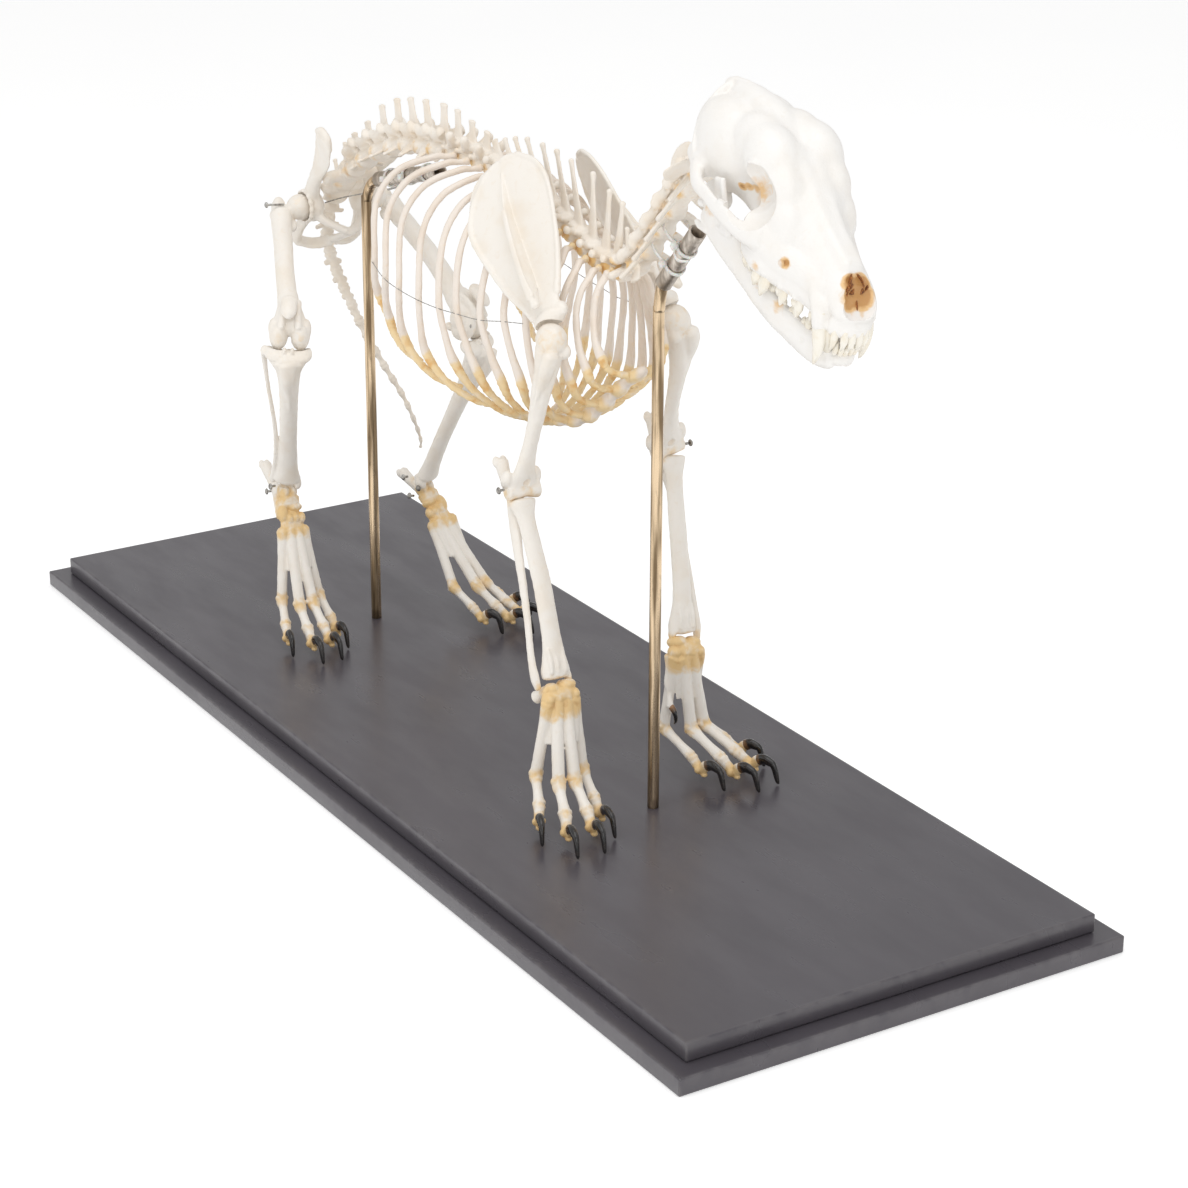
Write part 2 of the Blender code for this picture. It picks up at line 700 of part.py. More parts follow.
def rib(name, number, side, bone):
    """One rib with its cartilage, from its head at the spine to its end at or near the breastbone."""
    chain = spine_chain()
    at = len(NECK) + number
    body = np.array(chain[at], float)
    ahead = np.array(chain[at - 1], float)
    joint = (body + ahead) / 2
    middle = RIB_MIDDLES[number]
    junction = RIB_JUNCTIONS[number]
    wide = 3.4 if 1 < number < 9 else 3.0
    thick = 2.1
    head = np.array([joint[0], 10.6, joint[1] + 1.5])
    back, drop = middle[0] - head[0], head[2] - middle[2]
    # The front ribs stay narrower at the top, under the shoulder blades.
    bulge = 1.0 if number > 6 else 0.86
    neck = head + [back * 0.3, (middle[1] - head[1]) * 0.26, -1.5]
    shoulder = np.array([head[0] + back * 0.85 - 1, middle[1] * 0.70 * bulge, head[2] - drop * 0.16])
    flank = np.array([head[0] + back * 1.15 - 1, middle[1] * 0.92 * (bulge + 1) / 2, head[2] - drop * 0.48])
    lower = np.array([
        middle[0] * 0.42 + junction[0] * 0.58 - 1.0,
        max(middle[1] * 0.36 + junction[1] * 0.64 + 2.2, junction[1] + 1.0),
        middle[2] * 0.42 + junction[2] * 0.58,
    ])
    rows = [
        (*head, 2.9, 2.6),
        (*neck, 2.8, 2.4),
        (*shoulder, wide * 0.95, thick + 0.2),
        (*flank, wide, thick),
        (*middle, wide, thick),
        (*lower, wide * 1.05, thick),
        (*junction, wide * 1.2, thick * 1.45),
    ]
    rows += cartilage(number, junction)
    rows = [(x, y * side, z, a, b) for x, y, z, a, b in rows]
    forms = []
    loft(forms, rows, wide=(1, 0, 0.35), sides=5, steps=1, dome=0)
    verts, faces = joined(forms)
    return mesh_object(name, place(verts), faces, bone)


def cartilage(number, junction):
    """Rows of the cartilage that runs from the rib's bony end towards the breastbone."""
    start = np.array(junction, float)
    if number == 12:
        return [(*FREE_ENDS[3], 1.2, 1.2)]
    if number < len(BREASTBONE_JOINTS):
        x, z = BREASTBONE_JOINTS[number]
        end = np.array([x, 8.6, z + 1.0])
    else:
        end = np.array(FREE_ENDS[number - 9], float)
    run = end - start
    sag = 0.14 * np.linalg.norm(run)
    rows = [
        (*(start + run * 0.28 + [0, 2.0, -sag * 0.9]), 2.4, 2.1),
        (*(start + run * 0.66 + [0, 2.0, -sag * 0.85]), 2.2, 2.0),
    ]
    tip = 2.2 if number < 9 else 1.2
    rows.append((*end, tip, tip))
    return rows


def breastbone(material):
    forms = []
    loft(forms, BREASTBONE, sides=8, steps=1, dome=0.7)
    return grown("sternum", forms, material, 1.2, 1, 150)


def pelvis_bone(material):
    forms = []
    plane = (0.86, 0, -0.5)
    for _, side, i in SIDES:
        hip = np.array(HIP[i], float)
        wing = [
            (-283, side * 24, 361, 8, 6),
            (-272, side * 25.5, 375, 7.2, 4.4),
            (-258, side * 29, 390, 10, 3.0),
            (-245, side * 32, 405, 13.5, 2.6),
            (-238, side * 34.5, 416, 12, 3.0),
        ]
        loft(forms, wing, wide=plane, sides=10)
        ball(forms, hip + [0, -side * 12.4, 0], (13.5, 8.5, 13.5))
        pubis = [(-282, side * 21, 344, 6, 5), (-270, side * 13, 336, 4.6, 4.0), (-264, side * 4, 331, 5, 4.0)]
        loft(forms, pubis, wide=(1, 0, 0), sides=8)
        ischium = [(-292, side * 23, 342, 7, 5), (-301, side * 27, 330, 6, 4.4), (-308, side * 28, 319, 7, 4.0)]
        loft(forms, ischium, wide=plane, sides=8)
        table = [(-307, side * 26, 318, 6, 3.6), (-302, side * 13, 314, 6, 3.0), (-297, side * 2, 316, 6, 3.2)]
        loft(forms, table, wide=plane, sides=8)
    loft(forms, [(-262, 0, 331, 5, 4), (-280, 0, 323, 5, 3.4), (-298, 0, 316, 5, 3.4)], sides=8)
    sockets = [(point, 12.8) for point in HIP]
    return grown("pelvis", forms, material, 1.3, 4, 350, sockets)


def blade_frame(i, side):
    shoulder = np.array(SHOULDER[i], float)
    top = np.array(BLADE_TOP[i], float)
    # The front edge of the blade lies nearer to the midline than the rear edge.
    return limb_frame(top, shoulder, side, 142.0, front_hint=(0.93, -side * 0.32, 0.35))


def shoulder_blade(name, i, side, material):
    frame = blade_frame(i, side)
    forms = []
    blade = [
        (-2, 0, 0, 20, 1.6),
        (-4, 0, 12, 33, 1.4),
        (-5, 0, 34, 38, 1.2),
        (-2, 0, 62, 34, 1.3),
        (0, 0, 88, 26, 1.8),
        (1, 0, 108, 17, 2.8),
        (2, 0, 122, 12, 4.8),
    ]
    loft(forms, frame.rows(blade), wide=frame.direction(1, 0, 0), sides=14, steps=2, dome=0.6)
    ball(forms, frame.at(3, 0, 126), (14, 8.5, 7), axes=frame.axes)
    ball(forms, frame.at(14, -1, 124), (5, 4.5, 6), axes=frame.axes)
    ridge = [
        (-2, 1, 10, 1.4, 2.0),
        (-3, 4.5, 36, 1.5, 4.0),
        (-1, 7, 70, 1.6, 6.0),
        (2, 9, 100, 1.8, 6.5),
        (4, 12.5, 118, 3.0, 3.2),
    ]
    loft(forms, frame.rows(ridge), wide=frame.direction(1, 0, 0), sides=8)
    arm = limb_frame(SHOULDER[i], ELBOW[i], side, 143.0)
    sockets = [(arm.at(-3, -1, 0.5), 15.4), (arm.at(9, 6, 6), 8.6)]
    return grown(name, forms, material, 1.2, 2, 130, sockets)


def upper_arm(name, i, side, material):
    frame = limb_frame(SHOULDER[i], ELBOW[i], side, 143.0)
    forms = []
    ball(forms, frame.at(-3, -1, 0.5), (12.4, 11.2, 12.0), axes=frame.axes, sides=12)
    loft(forms, frame.rows([(10, 6, 6, 7, 6.5), (10, 7, 18, 7, 6), (7, 6, 34, 5, 4)]), sides=8)
    ball(forms, frame.at(6, -8, 6), (6, 5, 6), axes=frame.axes)
    shaft = [
        (0, 0, 10, 11, 12),
        (1, 1, 26, 8.4, 10.5),
        (2, 2, 46, 7.0, 9.2),
        (1.5, 1, 68, 6.0, 7.4),
        (0, 0, 92, 5.8, 6.0),
        (0, 0, 112, 7.4, 5.8),
        (0, 0, 126, 11.0, 5.6),
        (0, 0, 136, 13.5, 5.6),
    ]
    loft(forms, frame.rows(shaft), wide=frame.direction(0, 1, 0), sides=12)
    loft(forms, frame.rows([(9, 7, 16, 3, 3.4), (7.5, 8, 40, 2.8, 3), (4, 5.5, 62, 2, 2.4)]), sides=8)
    loft(forms, frame.rows([(0.5, -12, 140, 7.0, 7.0), (0.5, -3, 140, 6.2, 6.2), (0.5, 11, 140, 7.0, 7.0)]),
         wide=frame.direction(1, 0, 0), sides=12, dome=0.3)
    ball(forms, frame.at(-4, -13.5, 133), (5.5, 4.5, 7), axes=frame.axes)
    ball(forms, frame.at(-3, 12.5, 131), (5.0, 4.2, 7), axes=frame.axes)
    return grown(name, forms, material, 1.2, 4, 160)


def forearm_frame(i, side):
    return limb_frame(ELBOW[i], WRIST[i], side, 142.0)


def radius_bone(name, i, side, material):
    frame = forearm_frame(i, side)
    forms = []
    rows = [
        (3, 1, 9.5, 10.0, 6.4),
        (3, 1, 16, 8.0, 5.6),
        (4, 0, 34, 7.2, 4.6),
        (5.5, -1, 66, 7.4, 4.4),
        (5, -1, 96, 7.4, 4.6),
        (3, -1, 118, 8.6, 5.4),
        (1, -1, 131, 11.2, 7.0),
        (1, -1, 136.5, 11.4, 6.6),
    ]
    loft(forms, frame.rows(rows), wide=frame.direction(0, 1, 0), sides=12, dome=0.3)
    return grown(name, forms, material, 1.1, 2, 90)


def ulna_bone(name, i, side, material):
    frame = forearm_frame(i, side)
    forms = []
    rows = [
        (-19, 0, -25, 5.0, 6.0),
        (-17, 0, -12, 3.6, 6.4),
        (-14, 0, 2, 3.6, 5.0),
        (-9.5, 2, 14, 5.2, 6.2),
        (-8, 6, 34, 3.6, 5.2),
        (-5, 8.5, 62, 2.9, 4.0),
        (-3.5, 11.5, 92, 2.6, 3.2),
        (-3.5, 14.2, 118, 2.6, 3.2),
        (-3, 14.8, 134, 3.0, 4.0),
        (-2.5, 14.0, 143, 2.4, 3.0),
    ]
    loft(forms, frame.rows(rows), wide=frame.direction(0, 1, 0), sides=10)
    ball(forms, frame.at(-8, 0, -11), (3.4, 3.2, 4), axes=frame.axes)
    elbow = limb_frame(SHOULDER[i], ELBOW[i], side, 143.0)
    sockets = [(elbow.at(0.5, s, 140), 8.4) for s in (-6, 0, 6)]
    return grown(name, forms, material, 1.1, 2, 100, sockets)


def thigh_bone(name, i, side, material):
    frame = limb_frame(HIP[i], KNEE[i], side, 160.0, front_hint=(1, side * 0.55, 0.2))
    forms = []
    ball(forms, frame.at(0, 0, 0), (10.6, 10.6, 10.6), sides=12)
    loft(forms, frame.rows([(0, 2, 1, 6.5, 7), (0, 14, 8, 7, 8)]), steps=1)
    ball(forms, frame.at(-3, 19, 0), (8.5, 6.0, 10), axes=frame.axes)
    shaft = [
        (0, 16, 10, 10.5, 9.5),
        (1, 14, 28, 9.0, 8.4),
        (3, 11, 52, 8.7, 8.4),
        (4, 8, 80, 8.6, 8.4),
        (3, 4, 106, 9.4, 9.0),
        (2, 1, 126, 13.2, 10.5),
        (0, 0, 138, 16.6, 11.5),
    ]
    loft(forms, frame.rows(shaft), wide=frame.direction(0, 1, 0), sides=12)
    for s in (-1, 1):
        ball(forms, frame.at(-4, s * 9.6, 144), (12, 7.4, 10.2), axes=frame.axes)
        rim = [(9, s * 5.5, 120, 3.4, 3.6), (11.5, s * 6, 132, 3.4, 4), (9, s * 7, 143, 3.6, 4)]
        loft(forms, frame.rows(rim), sides=8)
    return grown(name, forms, material, 1.2, 4, 170)


def kneecap(name, i, side, material):
    frame = limb_frame(HIP[i], KNEE[i], side, 160.0, front_hint=(1, side * 0.55, 0.2))
    forms = []
    ball(forms, frame.at(22, 1, 132), (4.8, 6.2, 11), axes=frame.axes, sides=12)
    return grown(name, forms, material, 0.9, 1, 32)


def shin_bones(name, i, side, material):
    frame = limb_frame(KNEE[i], ANKLE[i], side, 162.0, front_hint=(1, side * 0.55, 0.2))
    forms = []
    for s in (-1, 1):
        ball(forms, frame.at(-3, s * 9.5, 9.6), (9.5, 8.5, 5.5), axes=frame.axes)
    loft(forms, frame.rows([(11, 0, 11, 5.2, 5.5), (10, 0, 27, 3.8, 5), (7, -1, 48, 2.6, 4)]), sides=8)
    shaft = [
        (0, 0, 12.6, 14.5, 10),
        (1, -0.5, 24, 9.4, 9.5),
        (2, -1, 46, 7.6, 7.8),
        (1, -1, 78, 7.1, 6.6),
        (0, -1, 108, 7.1, 6.2),
        (0, -1, 134, 8.0, 6.6),
        (0, 0, 147, 11.2, 7.6),
    ]
    loft(forms, frame.rows(shaft), wide=frame.direction(0, 1, 0), sides=12)
    ball(forms, frame.at(0, -8.5, 153), (5.5, 3.4, 5), axes=frame.axes)
    fibula = [
        (-5, 18, 10, 3.0, 4.0),
        (-6, 18.5, 20, 2.2, 2.6),
        (-4, 14.5, 54, 1.9, 1.9),
        (-2, 9.5, 92, 1.9, 1.9),
        (-1, 8.5, 124, 2.1, 2.1),
        (-1, 10.5, 150, 3.0, 4.4),
    ]
    loft(forms, frame.rows(fibula), wide=frame.direction(0, 1, 0), sides=8)
    knee = limb_frame(HIP[i], KNEE[i], side, 160.0, front_hint=(1, side * 0.55, 0.2))
    sockets = [(knee.at(-4, s * 9, 146), 12.4) for s in (-1, 1)]
    return grown(name, forms, material, 1.0, 2, 210, sockets)


def paw_frame(stand, side):
    x, y, yaw, _ = stand
    turn = math.radians(yaw)
    forward = np.array([math.cos(turn), math.sin(turn), 0])
    out = np.array([-math.sin(turn), math.cos(turn), 0]) * side
    return Frame((x, y, 0), forward, out, (0, 0, 1))


def toe(forms, frame, root, joints, lean, thick):
    """The long bone, the three toe bones and the claw of one toe."""
    knuckle, middle, end, tip = (np.array(p, float) for p in joints)
    knuckle = knuckle + [lean, 0, 0]
    root = np.asarray(root, float)
    knuckle, middle, end, tip = (frame.at(*p) for p in (knuckle, middle, end, tip))
    side = frame.axes[1]

    def bone(a, b, first, waist, last):
        step = unit(b - a)
        rows = [
            (*(a + step * 1.0), first, first),
            (*(a * 0.7 + b * 0.3), waist, waist),
            (*(a * 0.35 + b * 0.65), waist, waist),
            (*(b - step * 1.5), last, last),
        ]
        loft(forms, rows, wide=side, sides=8, steps=2, dome=0.8)

    bone(root, knuckle, thick * 1.0, thick * 0.72, thick * 1.05)
    bone(knuckle, middle, thick * 1.0, thick * 0.66, thick * 0.92)
    bone(middle, end, thick * 0.9, thick * 0.66, thick * 0.9)
    forward = unit([tip[0] - end[0], tip[1] - end[1], 0])
    reach = math.hypot(tip[0] - end[0], tip[1] - end[1])
    claw = [
        (*(end + forward * 2 + [0, 0, 3.5]), 2.6, 3.6),
        (*(end + forward * reach * 0.40 + [0, 0, 9.0]), 2.2, 2.8),
        (*(end + forward * reach * 0.75 + [0, 0, 5.5]), 1.8, 2.2),
        (*(tip - forward * 0.5 + [0, 0, 1.1]), 0.9, 1.0),
    ]
    loft(forms, claw, wide=side, sides=8, steps=2, dome=0.9)


def fore_paw(name, i, side, material):
    frame = paw_frame(FORE_PAW[i], side)
    forms = []
    arm = forearm_frame(i, side)
    for s, rise in ((-8.5, 144), (0, 145), (8.5, 146)):
        ball(forms, arm.at(1, s, rise), (7, 6.5, 5), axes=arm.axes)
        ball(forms, arm.at(2, s * 1.05, rise + 8), (6.5, 6.2, 5.5), axes=arm.axes)
    loft(forms, arm.rows([(-6, 7, 146, 4.5, 4.5), (-17, 9, 149, 4.2, 5.0)]), steps=1)
    for k, joints in enumerate(FORE_TOES):
        root = arm.at(3, (-10.5, -3.6, 3.6, 10.5)[k], 154)
        toe(forms, frame, root, joints, FORE_PAW[i][3], (5.2, 5.7, 5.7, 5.4)[k])
    # The dewclaw hangs on the inner side.
    top = arm.at(-3, -13, 154)
    inner = frame.direction(0, -1, 0)
    dew = [
        (*top, 2.8, 2.8),
        (*(top + inner * 2 + frame.direction(1, 0, 0) * 2 + [0, 0, -20]), 2.3, 2.3),
        (*(top + inner * 4 + frame.direction(1, 0, 0) * 6 + [0, 0, -36]), 2.8, 2.8),
        (*(top + inner * 3 + frame.direction(1, 0, 0) * 9 + [0, 0, -50]), 1.0, 1.0),
    ]
    loft(forms, dew, wide=inner, sides=8)
    sockets = [(arm.at(1, s, 131), 9.4) for s in (-7, 0, 6)]
    sockets += [(arm.at(-3, 14.5, rise), 7.2) for rise in (132, 140)]
    return grown(name, forms, material, 0.95, 2, 295, sockets)


def hind_paw(name, i, side, material):
    frame = paw_frame(HIND_PAW[i], side)
    ankle = np.array(ANKLE[i], float)
    forms = []
    heads = np.mean([frame.at(*joints[0]) for joints in HIND_TOES], axis=0)
    hock = limb_frame(ankle, heads, side, 100.0, front_hint=(1, 0, 0.4))
    shin = limb_frame(KNEE[i], ANKLE[i], side, 162.0, front_hint=(1, side * 0.55, 0.2))
    ball(forms, hock.at(1, 0, 2), (8.5, 9.5, 7.5), axes=hock.axes)
    heel = [(-21, 3, -15, 5.4, 6.2), (-15, 3, -4, 4.4, 5.6), (-9, 4, 10, 6, 6.5), (-3, 4, 24, 8.5, 7.5)]
    loft(forms, hock.rows(heel), wide=hock.direction(0, 1, 0), sides=10)
    loft(forms, hock.rows([(1, 0, 8, 10.5, 7.5), (1, 0, 20, 11.5, 7.5), (1, 0, 36, 12.5, 6.5)]),
         wide=hock.direction(0, 1, 0), sides=12)
    for k, joints in enumerate(HIND_TOES):
        root = hock.at(1, (-9.5, -3.3, 3.3, 9.5)[k], 36)
        toe(forms, frame, root, joints, HIND_PAW[i][3], (5.1, 5.5, 5.5, 5.2)[k])
    sockets = [(shin.at(0, s, 150), 7.4) for s in (-8, -3, 3, 8)]
    return grown(name, forms, material, 0.95, 2, 295, sockets)


def skull_bone(material):
    frame = skull_frame()
    forms = []

    def lump(u, v, w, ru, rv, rw):
        ball(forms, frame.at(u, v, w), (ru, rv, rw), axes=frame.axes, sides=16)

    def run(rows, wide=(0, 1, 0), sides=10, steps=2, dome=0.7):
        loft(forms, frame.rows(rows), wide=frame.direction(*wide), sides=sides, steps=steps, dome=dome)

    for side in (-1, 1):
        # Braincase, forehead, ear capsule and the knuckle that meets the neck
        lump(41, side * 13, 38, 41, 20, 28)
        lump(84, side * 15, 59, 28, 18, 21)
        lump(46, side * 20, 3, 13, 8, 9)
        lump(7, side * 9, 15, 6, 5.5, 8)
        lump(112, side * 29, 17, 16, 9, 13)
        # The cheek arch runs from beside the ear to below the eye.
        arch = [
            (38, side * 35, 18, 6, 4),
            (50, side * 41, 17, 6, 4),
            (66, side * 42.5, 18, 6, 3),
            (82, side * 43.5, 18, 6.5, 2.8),
            (98, side * 42.5, 17.5, 7.5, 3.2),
            (111, side * 37, 18, 10, 4.5),
            (122, side * 29, 20, 12, 6),
        ]
        run(arch, wide=(0, 0, 1))
        # The brow spur above and behind the eye
        run([(92, side * 20, 66, 8, 5), (89, side * 30, 60, 5, 3), (86, side * 35, 54, 3, 2)], wide=(1, 0, 0))
        run([(16, side * 26, 20, 8, 6), (40, side * 32, 20, 8, 6)], wide=(0, 0, 1))
    # The ridge along the top, from the forehead back to the nape
    run([(92, 0, 64, 15, 11), (60, 0, 69, 12, 11.5), (34, 0, 66, 9.5, 10.5),
         (14, 0, 60, 8, 10), (5, 0, 57, 7, 8)])
    run([(8, 0, 40, 22, 18), (5, 0, 52, 15, 8)])
    run([(30, 0, 24, 22, 20), (70, 0, 22, 20, 16), (104, 0, 22, 22, 17)])
    muzzle = [
        (100, 0, 38, 24, 26),
        (116, 0, 33, 26, 25),
        (132, 0, 26, 22, 21.5),
        (150, 0, 21, 17.5, 18),
        (168, 0, 18, 16, 15.5),
        (184, 0, 13, 16.5, 12),
        (193, 0, 7, 15, 7.5),
    ]
    run(muzzle, sides=14, steps=3, dome=0.6)
    run([(100, 0, 62, 14, 8), (120, 0, 53, 10, 7), (146, 0, 41, 8, 6), (170, 0, 33.5, 7.5, 5)])
    for side in (-1, 1):
        teeth = [
            (100, side * 27, 6, 4.4, 7.5),
            (118, side * 30, -1, 4.5, 9),
            (140, side * 24, -1, 4.2, 9),
            (164, side * 17.5, -1, 4, 8),
        ]
        run(teeth)
        # The side wall of the muzzle, from the cheek to the canine's root
        run([(100, side * 26, 15, 5, 15), (126, side * 26, 13, 6, 13.5),
             (150, side * 19, 12, 5.5, 12), (170, side * 15.5, 10, 5, 10)])
        fang = [(176, side * 15, 8, 6.5, 7), (181, side * 18, -4, 4.4, 4.8), (182, side * 18.5, -23, 2.2, 2.6)]
        run(fang, wide=(1, 0, 0))
    run([(191, -11, -6, 8, 4), (197, 0, -5, 7, 4), (191, 11, -6, 8, 4)], wide=(0, 0, 1))
    sockets = []
    for side in (-1, 1):
        sockets.append((frame.at(101, side * 44, 45), 20))
        sockets.append((frame.at(96, side * 36, 44), 17))
        sockets.append((frame.at(80, side * 41, 40), 13))
        sockets += [(frame.at(56, side * v, 7), 6.2) for v in (26, 34, 42)]
    sockets.append((frame.at(196, 0, 24), 11))
    return grown("skull", forms, material, 1.5, 4, 940, sockets)


def jaw_bone(material):
    frame = skull_frame()
    forms = []
    for side in (-1, 1):
        body = [
            (187, side * 6.5, -27, 5, 8.5),
            (178, side * 8.5, -29, 4.5, 10.5),
            (160, side * 13, -29, 4.6, 11),
            (136, side * 19, -26, 4.6, 11),
            (110, side * 24, -19, 4.4, 11),
            (86, side * 28, -12, 3.8, 12),
            (66, side * 31, -6, 3.0, 13),
            (53, side * 32, -3, 2.8, 9),
        ]
        loft(forms, frame.rows(body), wide=frame.direction(0, 1, 0), sides=10)
        horn = [(74, side * 31.5, -4, 13, 2.6), (69, side * 34, 14, 9, 2.2), (64, side * 35, 29, 6, 1.8)]
        loft(forms, frame.rows(horn), wide=frame.direction(1, 0, 0), sides=8)
        knob = [(56, side * 29, 5.5, 3.4, 3.0), (56, side * 39, 6, 3.4, 3.0)]
        loft(forms, frame.rows(knob), wide=frame.direction(1, 0, 0), sides=8, steps=1)
        neck = [(58, side * 33, 4, 6, 3), (62, side * 32, -8, 9, 2.8)]
        loft(forms, frame.rows(neck), wide=frame.direction(1, 0, 0), sides=8, steps=1)
        fang = [(185, side * 9, -20, 4.2, 4.6), (188, side * 12.5, -9, 2.4, 2.8)]
        loft(forms, frame.rows(fang), wide=frame.direction(1, 0, 0), sides=8, steps=1)
        teeth = [(166, side * 12, -18, 3, 4), (140, side * 16.5, -14, 3, 4), (114, side * 21, -10, 3, 3.6)]
        loft(forms, frame.rows(teeth), wide=frame.direction(0, 1, 0), sides=8)
    loft(forms, frame.rows([(191, 0, -25, 8, 6), (180, 0, -28, 8, 8), (166, 0, -30, 7, 7)]), sides=10)
    return grown("mandible", forms, material, 1.2, 2, 300)


def build():
    for obj in list(bpy.data.objects):
        bpy.data.objects.remove(obj)
    bone = principled("Bone", (0.86, 0.82, 0.74), 0.5)
    lacquer = principled("Lacquer", (0.045, 0.043, 0.05), 0.4)
    brass = principled("Brass", (0.55, 0.42, 0.2), 0.25, 1.0)
    steel = principled("Steel", (0.6, 0.6, 0.58), 0.3, 1.0)

    lower_length = UPPER_BOARD[0] + 2 * LOWER_MARGIN
    lower_width = UPPER_BOARD[1] + 2 * LOWER_MARGIN
    board("base_lower_board", lower_length, lower_width, 0, LOWER_THICKNESS, lacquer)
    board("base_upper_board", *UPPER_BOARD[:2], LOWER_THICKNESS + GAP, UPPER_BOARD[2], lacquer)
    post("rear_post", REAR_POST_X, REAR_TUBE, brass)
    post("front_post", FRONT_POST_X, FRONT_TUBE, brass)
    pipe("rear_tube", REAR_TUBE, steel)
    pipe("front_tube", FRONT_TUBE, steel)

    skull_bone(bone)
    jaw_bone(bone)
    neck_spine(bone)
    thoracic_spine(bone)
    loin_spine(bone)
    sacrum_bone(bone)
    tail_bones(bone)
    breastbone(bone)
    pelvis_bone(bone)
    for word, side, i in SIDES:
        for number in range(len(RIB_MIDDLES)):
            rib(f"{word}_rib_{number + 1:02d}", number, side, bone)
        shoulder_blade(f"{word}_scapula", i, side, bone)
        upper_arm(f"{word}_humerus", i, side, bone)
        radius_bone(f"{word}_radius", i, side, bone)
        ulna_bone(f"{word}_ulna", i, side, bone)
        fore_paw(f"{word}_forepaw", i, side, bone)
        thigh_bone(f"{word}_femur", i, side, bone)
        kneecap(f"{word}_patella", i, side, bone)
        shin_bones(f"{word}_tibia", i, side, bone)
        hind_paw(f"{word}_hindpaw", i, side, bone)


build()
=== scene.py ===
"""Looks of the mounted dog skeleton.

Fine bones, teeth and claws, nylon ties, pins and wires, and the boards, posts and tubes that carry them.

Bone positions are in millimetres above the top of the upper board, as in the part's own source, and
place() turns them into metres above the floor. X points the way the dog faces and Y to its left.
"""

import json
import math

import bmesh
import bpy
import numpy as np
from mathutils import Matrix, Vector

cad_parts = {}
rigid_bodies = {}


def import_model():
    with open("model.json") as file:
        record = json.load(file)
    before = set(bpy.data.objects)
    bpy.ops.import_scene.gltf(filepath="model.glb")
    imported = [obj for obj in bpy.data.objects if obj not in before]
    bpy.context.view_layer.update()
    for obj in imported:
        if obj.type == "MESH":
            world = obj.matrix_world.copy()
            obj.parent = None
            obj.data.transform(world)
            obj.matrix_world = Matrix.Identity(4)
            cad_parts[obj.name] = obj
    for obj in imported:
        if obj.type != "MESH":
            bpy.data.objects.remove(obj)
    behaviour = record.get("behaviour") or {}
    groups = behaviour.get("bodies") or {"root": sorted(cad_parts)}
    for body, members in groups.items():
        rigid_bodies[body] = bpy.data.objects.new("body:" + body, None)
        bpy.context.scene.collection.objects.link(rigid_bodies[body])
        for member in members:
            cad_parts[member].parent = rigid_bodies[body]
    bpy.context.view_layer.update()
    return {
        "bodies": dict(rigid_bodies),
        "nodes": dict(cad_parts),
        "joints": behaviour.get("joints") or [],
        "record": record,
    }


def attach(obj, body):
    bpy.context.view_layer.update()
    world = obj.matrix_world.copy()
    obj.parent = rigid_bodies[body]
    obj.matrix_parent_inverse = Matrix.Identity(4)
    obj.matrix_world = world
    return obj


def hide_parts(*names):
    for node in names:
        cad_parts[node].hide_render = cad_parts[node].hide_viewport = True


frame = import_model()

MM = 0.001
GAP = 0.3

# Boards
UPPER_BOARD = (1000.0, 336.5, 14.0)
LOWER_MARGIN = 14.7
LOWER_THICKNESS = 13.0
BOARD_CHAMFER = 1.2
BOARD_TOP = LOWER_THICKNESS + GAP + UPPER_BOARD[2]

# Posts and the tubes that they carry
POST_RADIUS = 4.25
TUBE_RADIUS = 6.2
TUBE_BORE = 4.9
REAR_POST_X = -233.9
FRONT_POST_X = 199.9
REAR_TUBE = ((-211.0, 0, 385.0), (-110.0, 0, 412.5))
FRONT_TUBE = ((205.5, 0, 400.5), (247.0, 0, 446.5))
TUBE_ENTRY = 18.0

# Spine, from the first neck vertebra to the last sacral one: centre of the body, tip of the spine
NECK = (
    ((256, 497), (252, 508)),
    ((241, 481), (232, 499)),
    ((226, 464), (216, 476)),
    ((212, 447), (201, 460)),
    ((197, 430), (185, 446)),
    ((182, 413), (170, 434)),
    ((165, 401), (158, 430)),
)
THORAX = (
    ((147, 395), (153, 447)),
    ((129, 396), (135.5, 452)),
    ((111, 400), (113, 460)),
    ((93, 406), (83, 463)),
    ((75, 412), (63, 466)),
    ((57, 418), (43, 466.5)),
    ((38, 423), (21, 466)),
    ((19, 427), (4, 463)),
    ((0, 430), (-11, 459)),
    ((-19, 432), (-26, 455)),
    ((-38, 433), (-36, 459)),
    ((-58, 434), (-59, 463)),
    ((-79, 433), (-81, 467)),
)
LOINS = (
    ((-101, 431), (-102, 467.5)),
    ((-124, 429), (-131, 465)),
    ((-147, 426), (-156, 462)),
    ((-171, 421), (-178, 457)),
    ((-195, 413), (-203, 447)),
    ((-219, 403), (-229, 429)),
    ((-242, 391), (-252, 415)),
)
SACRUM = (
    ((-262, 378), (-269, 404)),
    ((-277, 366), (-288, 386)),
    ((-289, 354), (-301, 368)),
)
DISC_GAP = 1.2
LOIN_REACH = (14, 17, 20, 21, 21, 19, 14)

# Tail: a curve that the vertebrae follow
TAIL_CURVE = (
    (-297, 1, 345),
    (-311, 3, 327),
    (-315, 6, 304),
    (-306, 9, 283),
    (-296, 13, 265),
    (-281, 20, 237),
    (-266, 31, 208),
    (-257, 41, 186),
    (-252, 49, 164),
    (-255, 57, 144),
    (-261, 60, 134),
)
TAIL_VERTEBRAE = 17

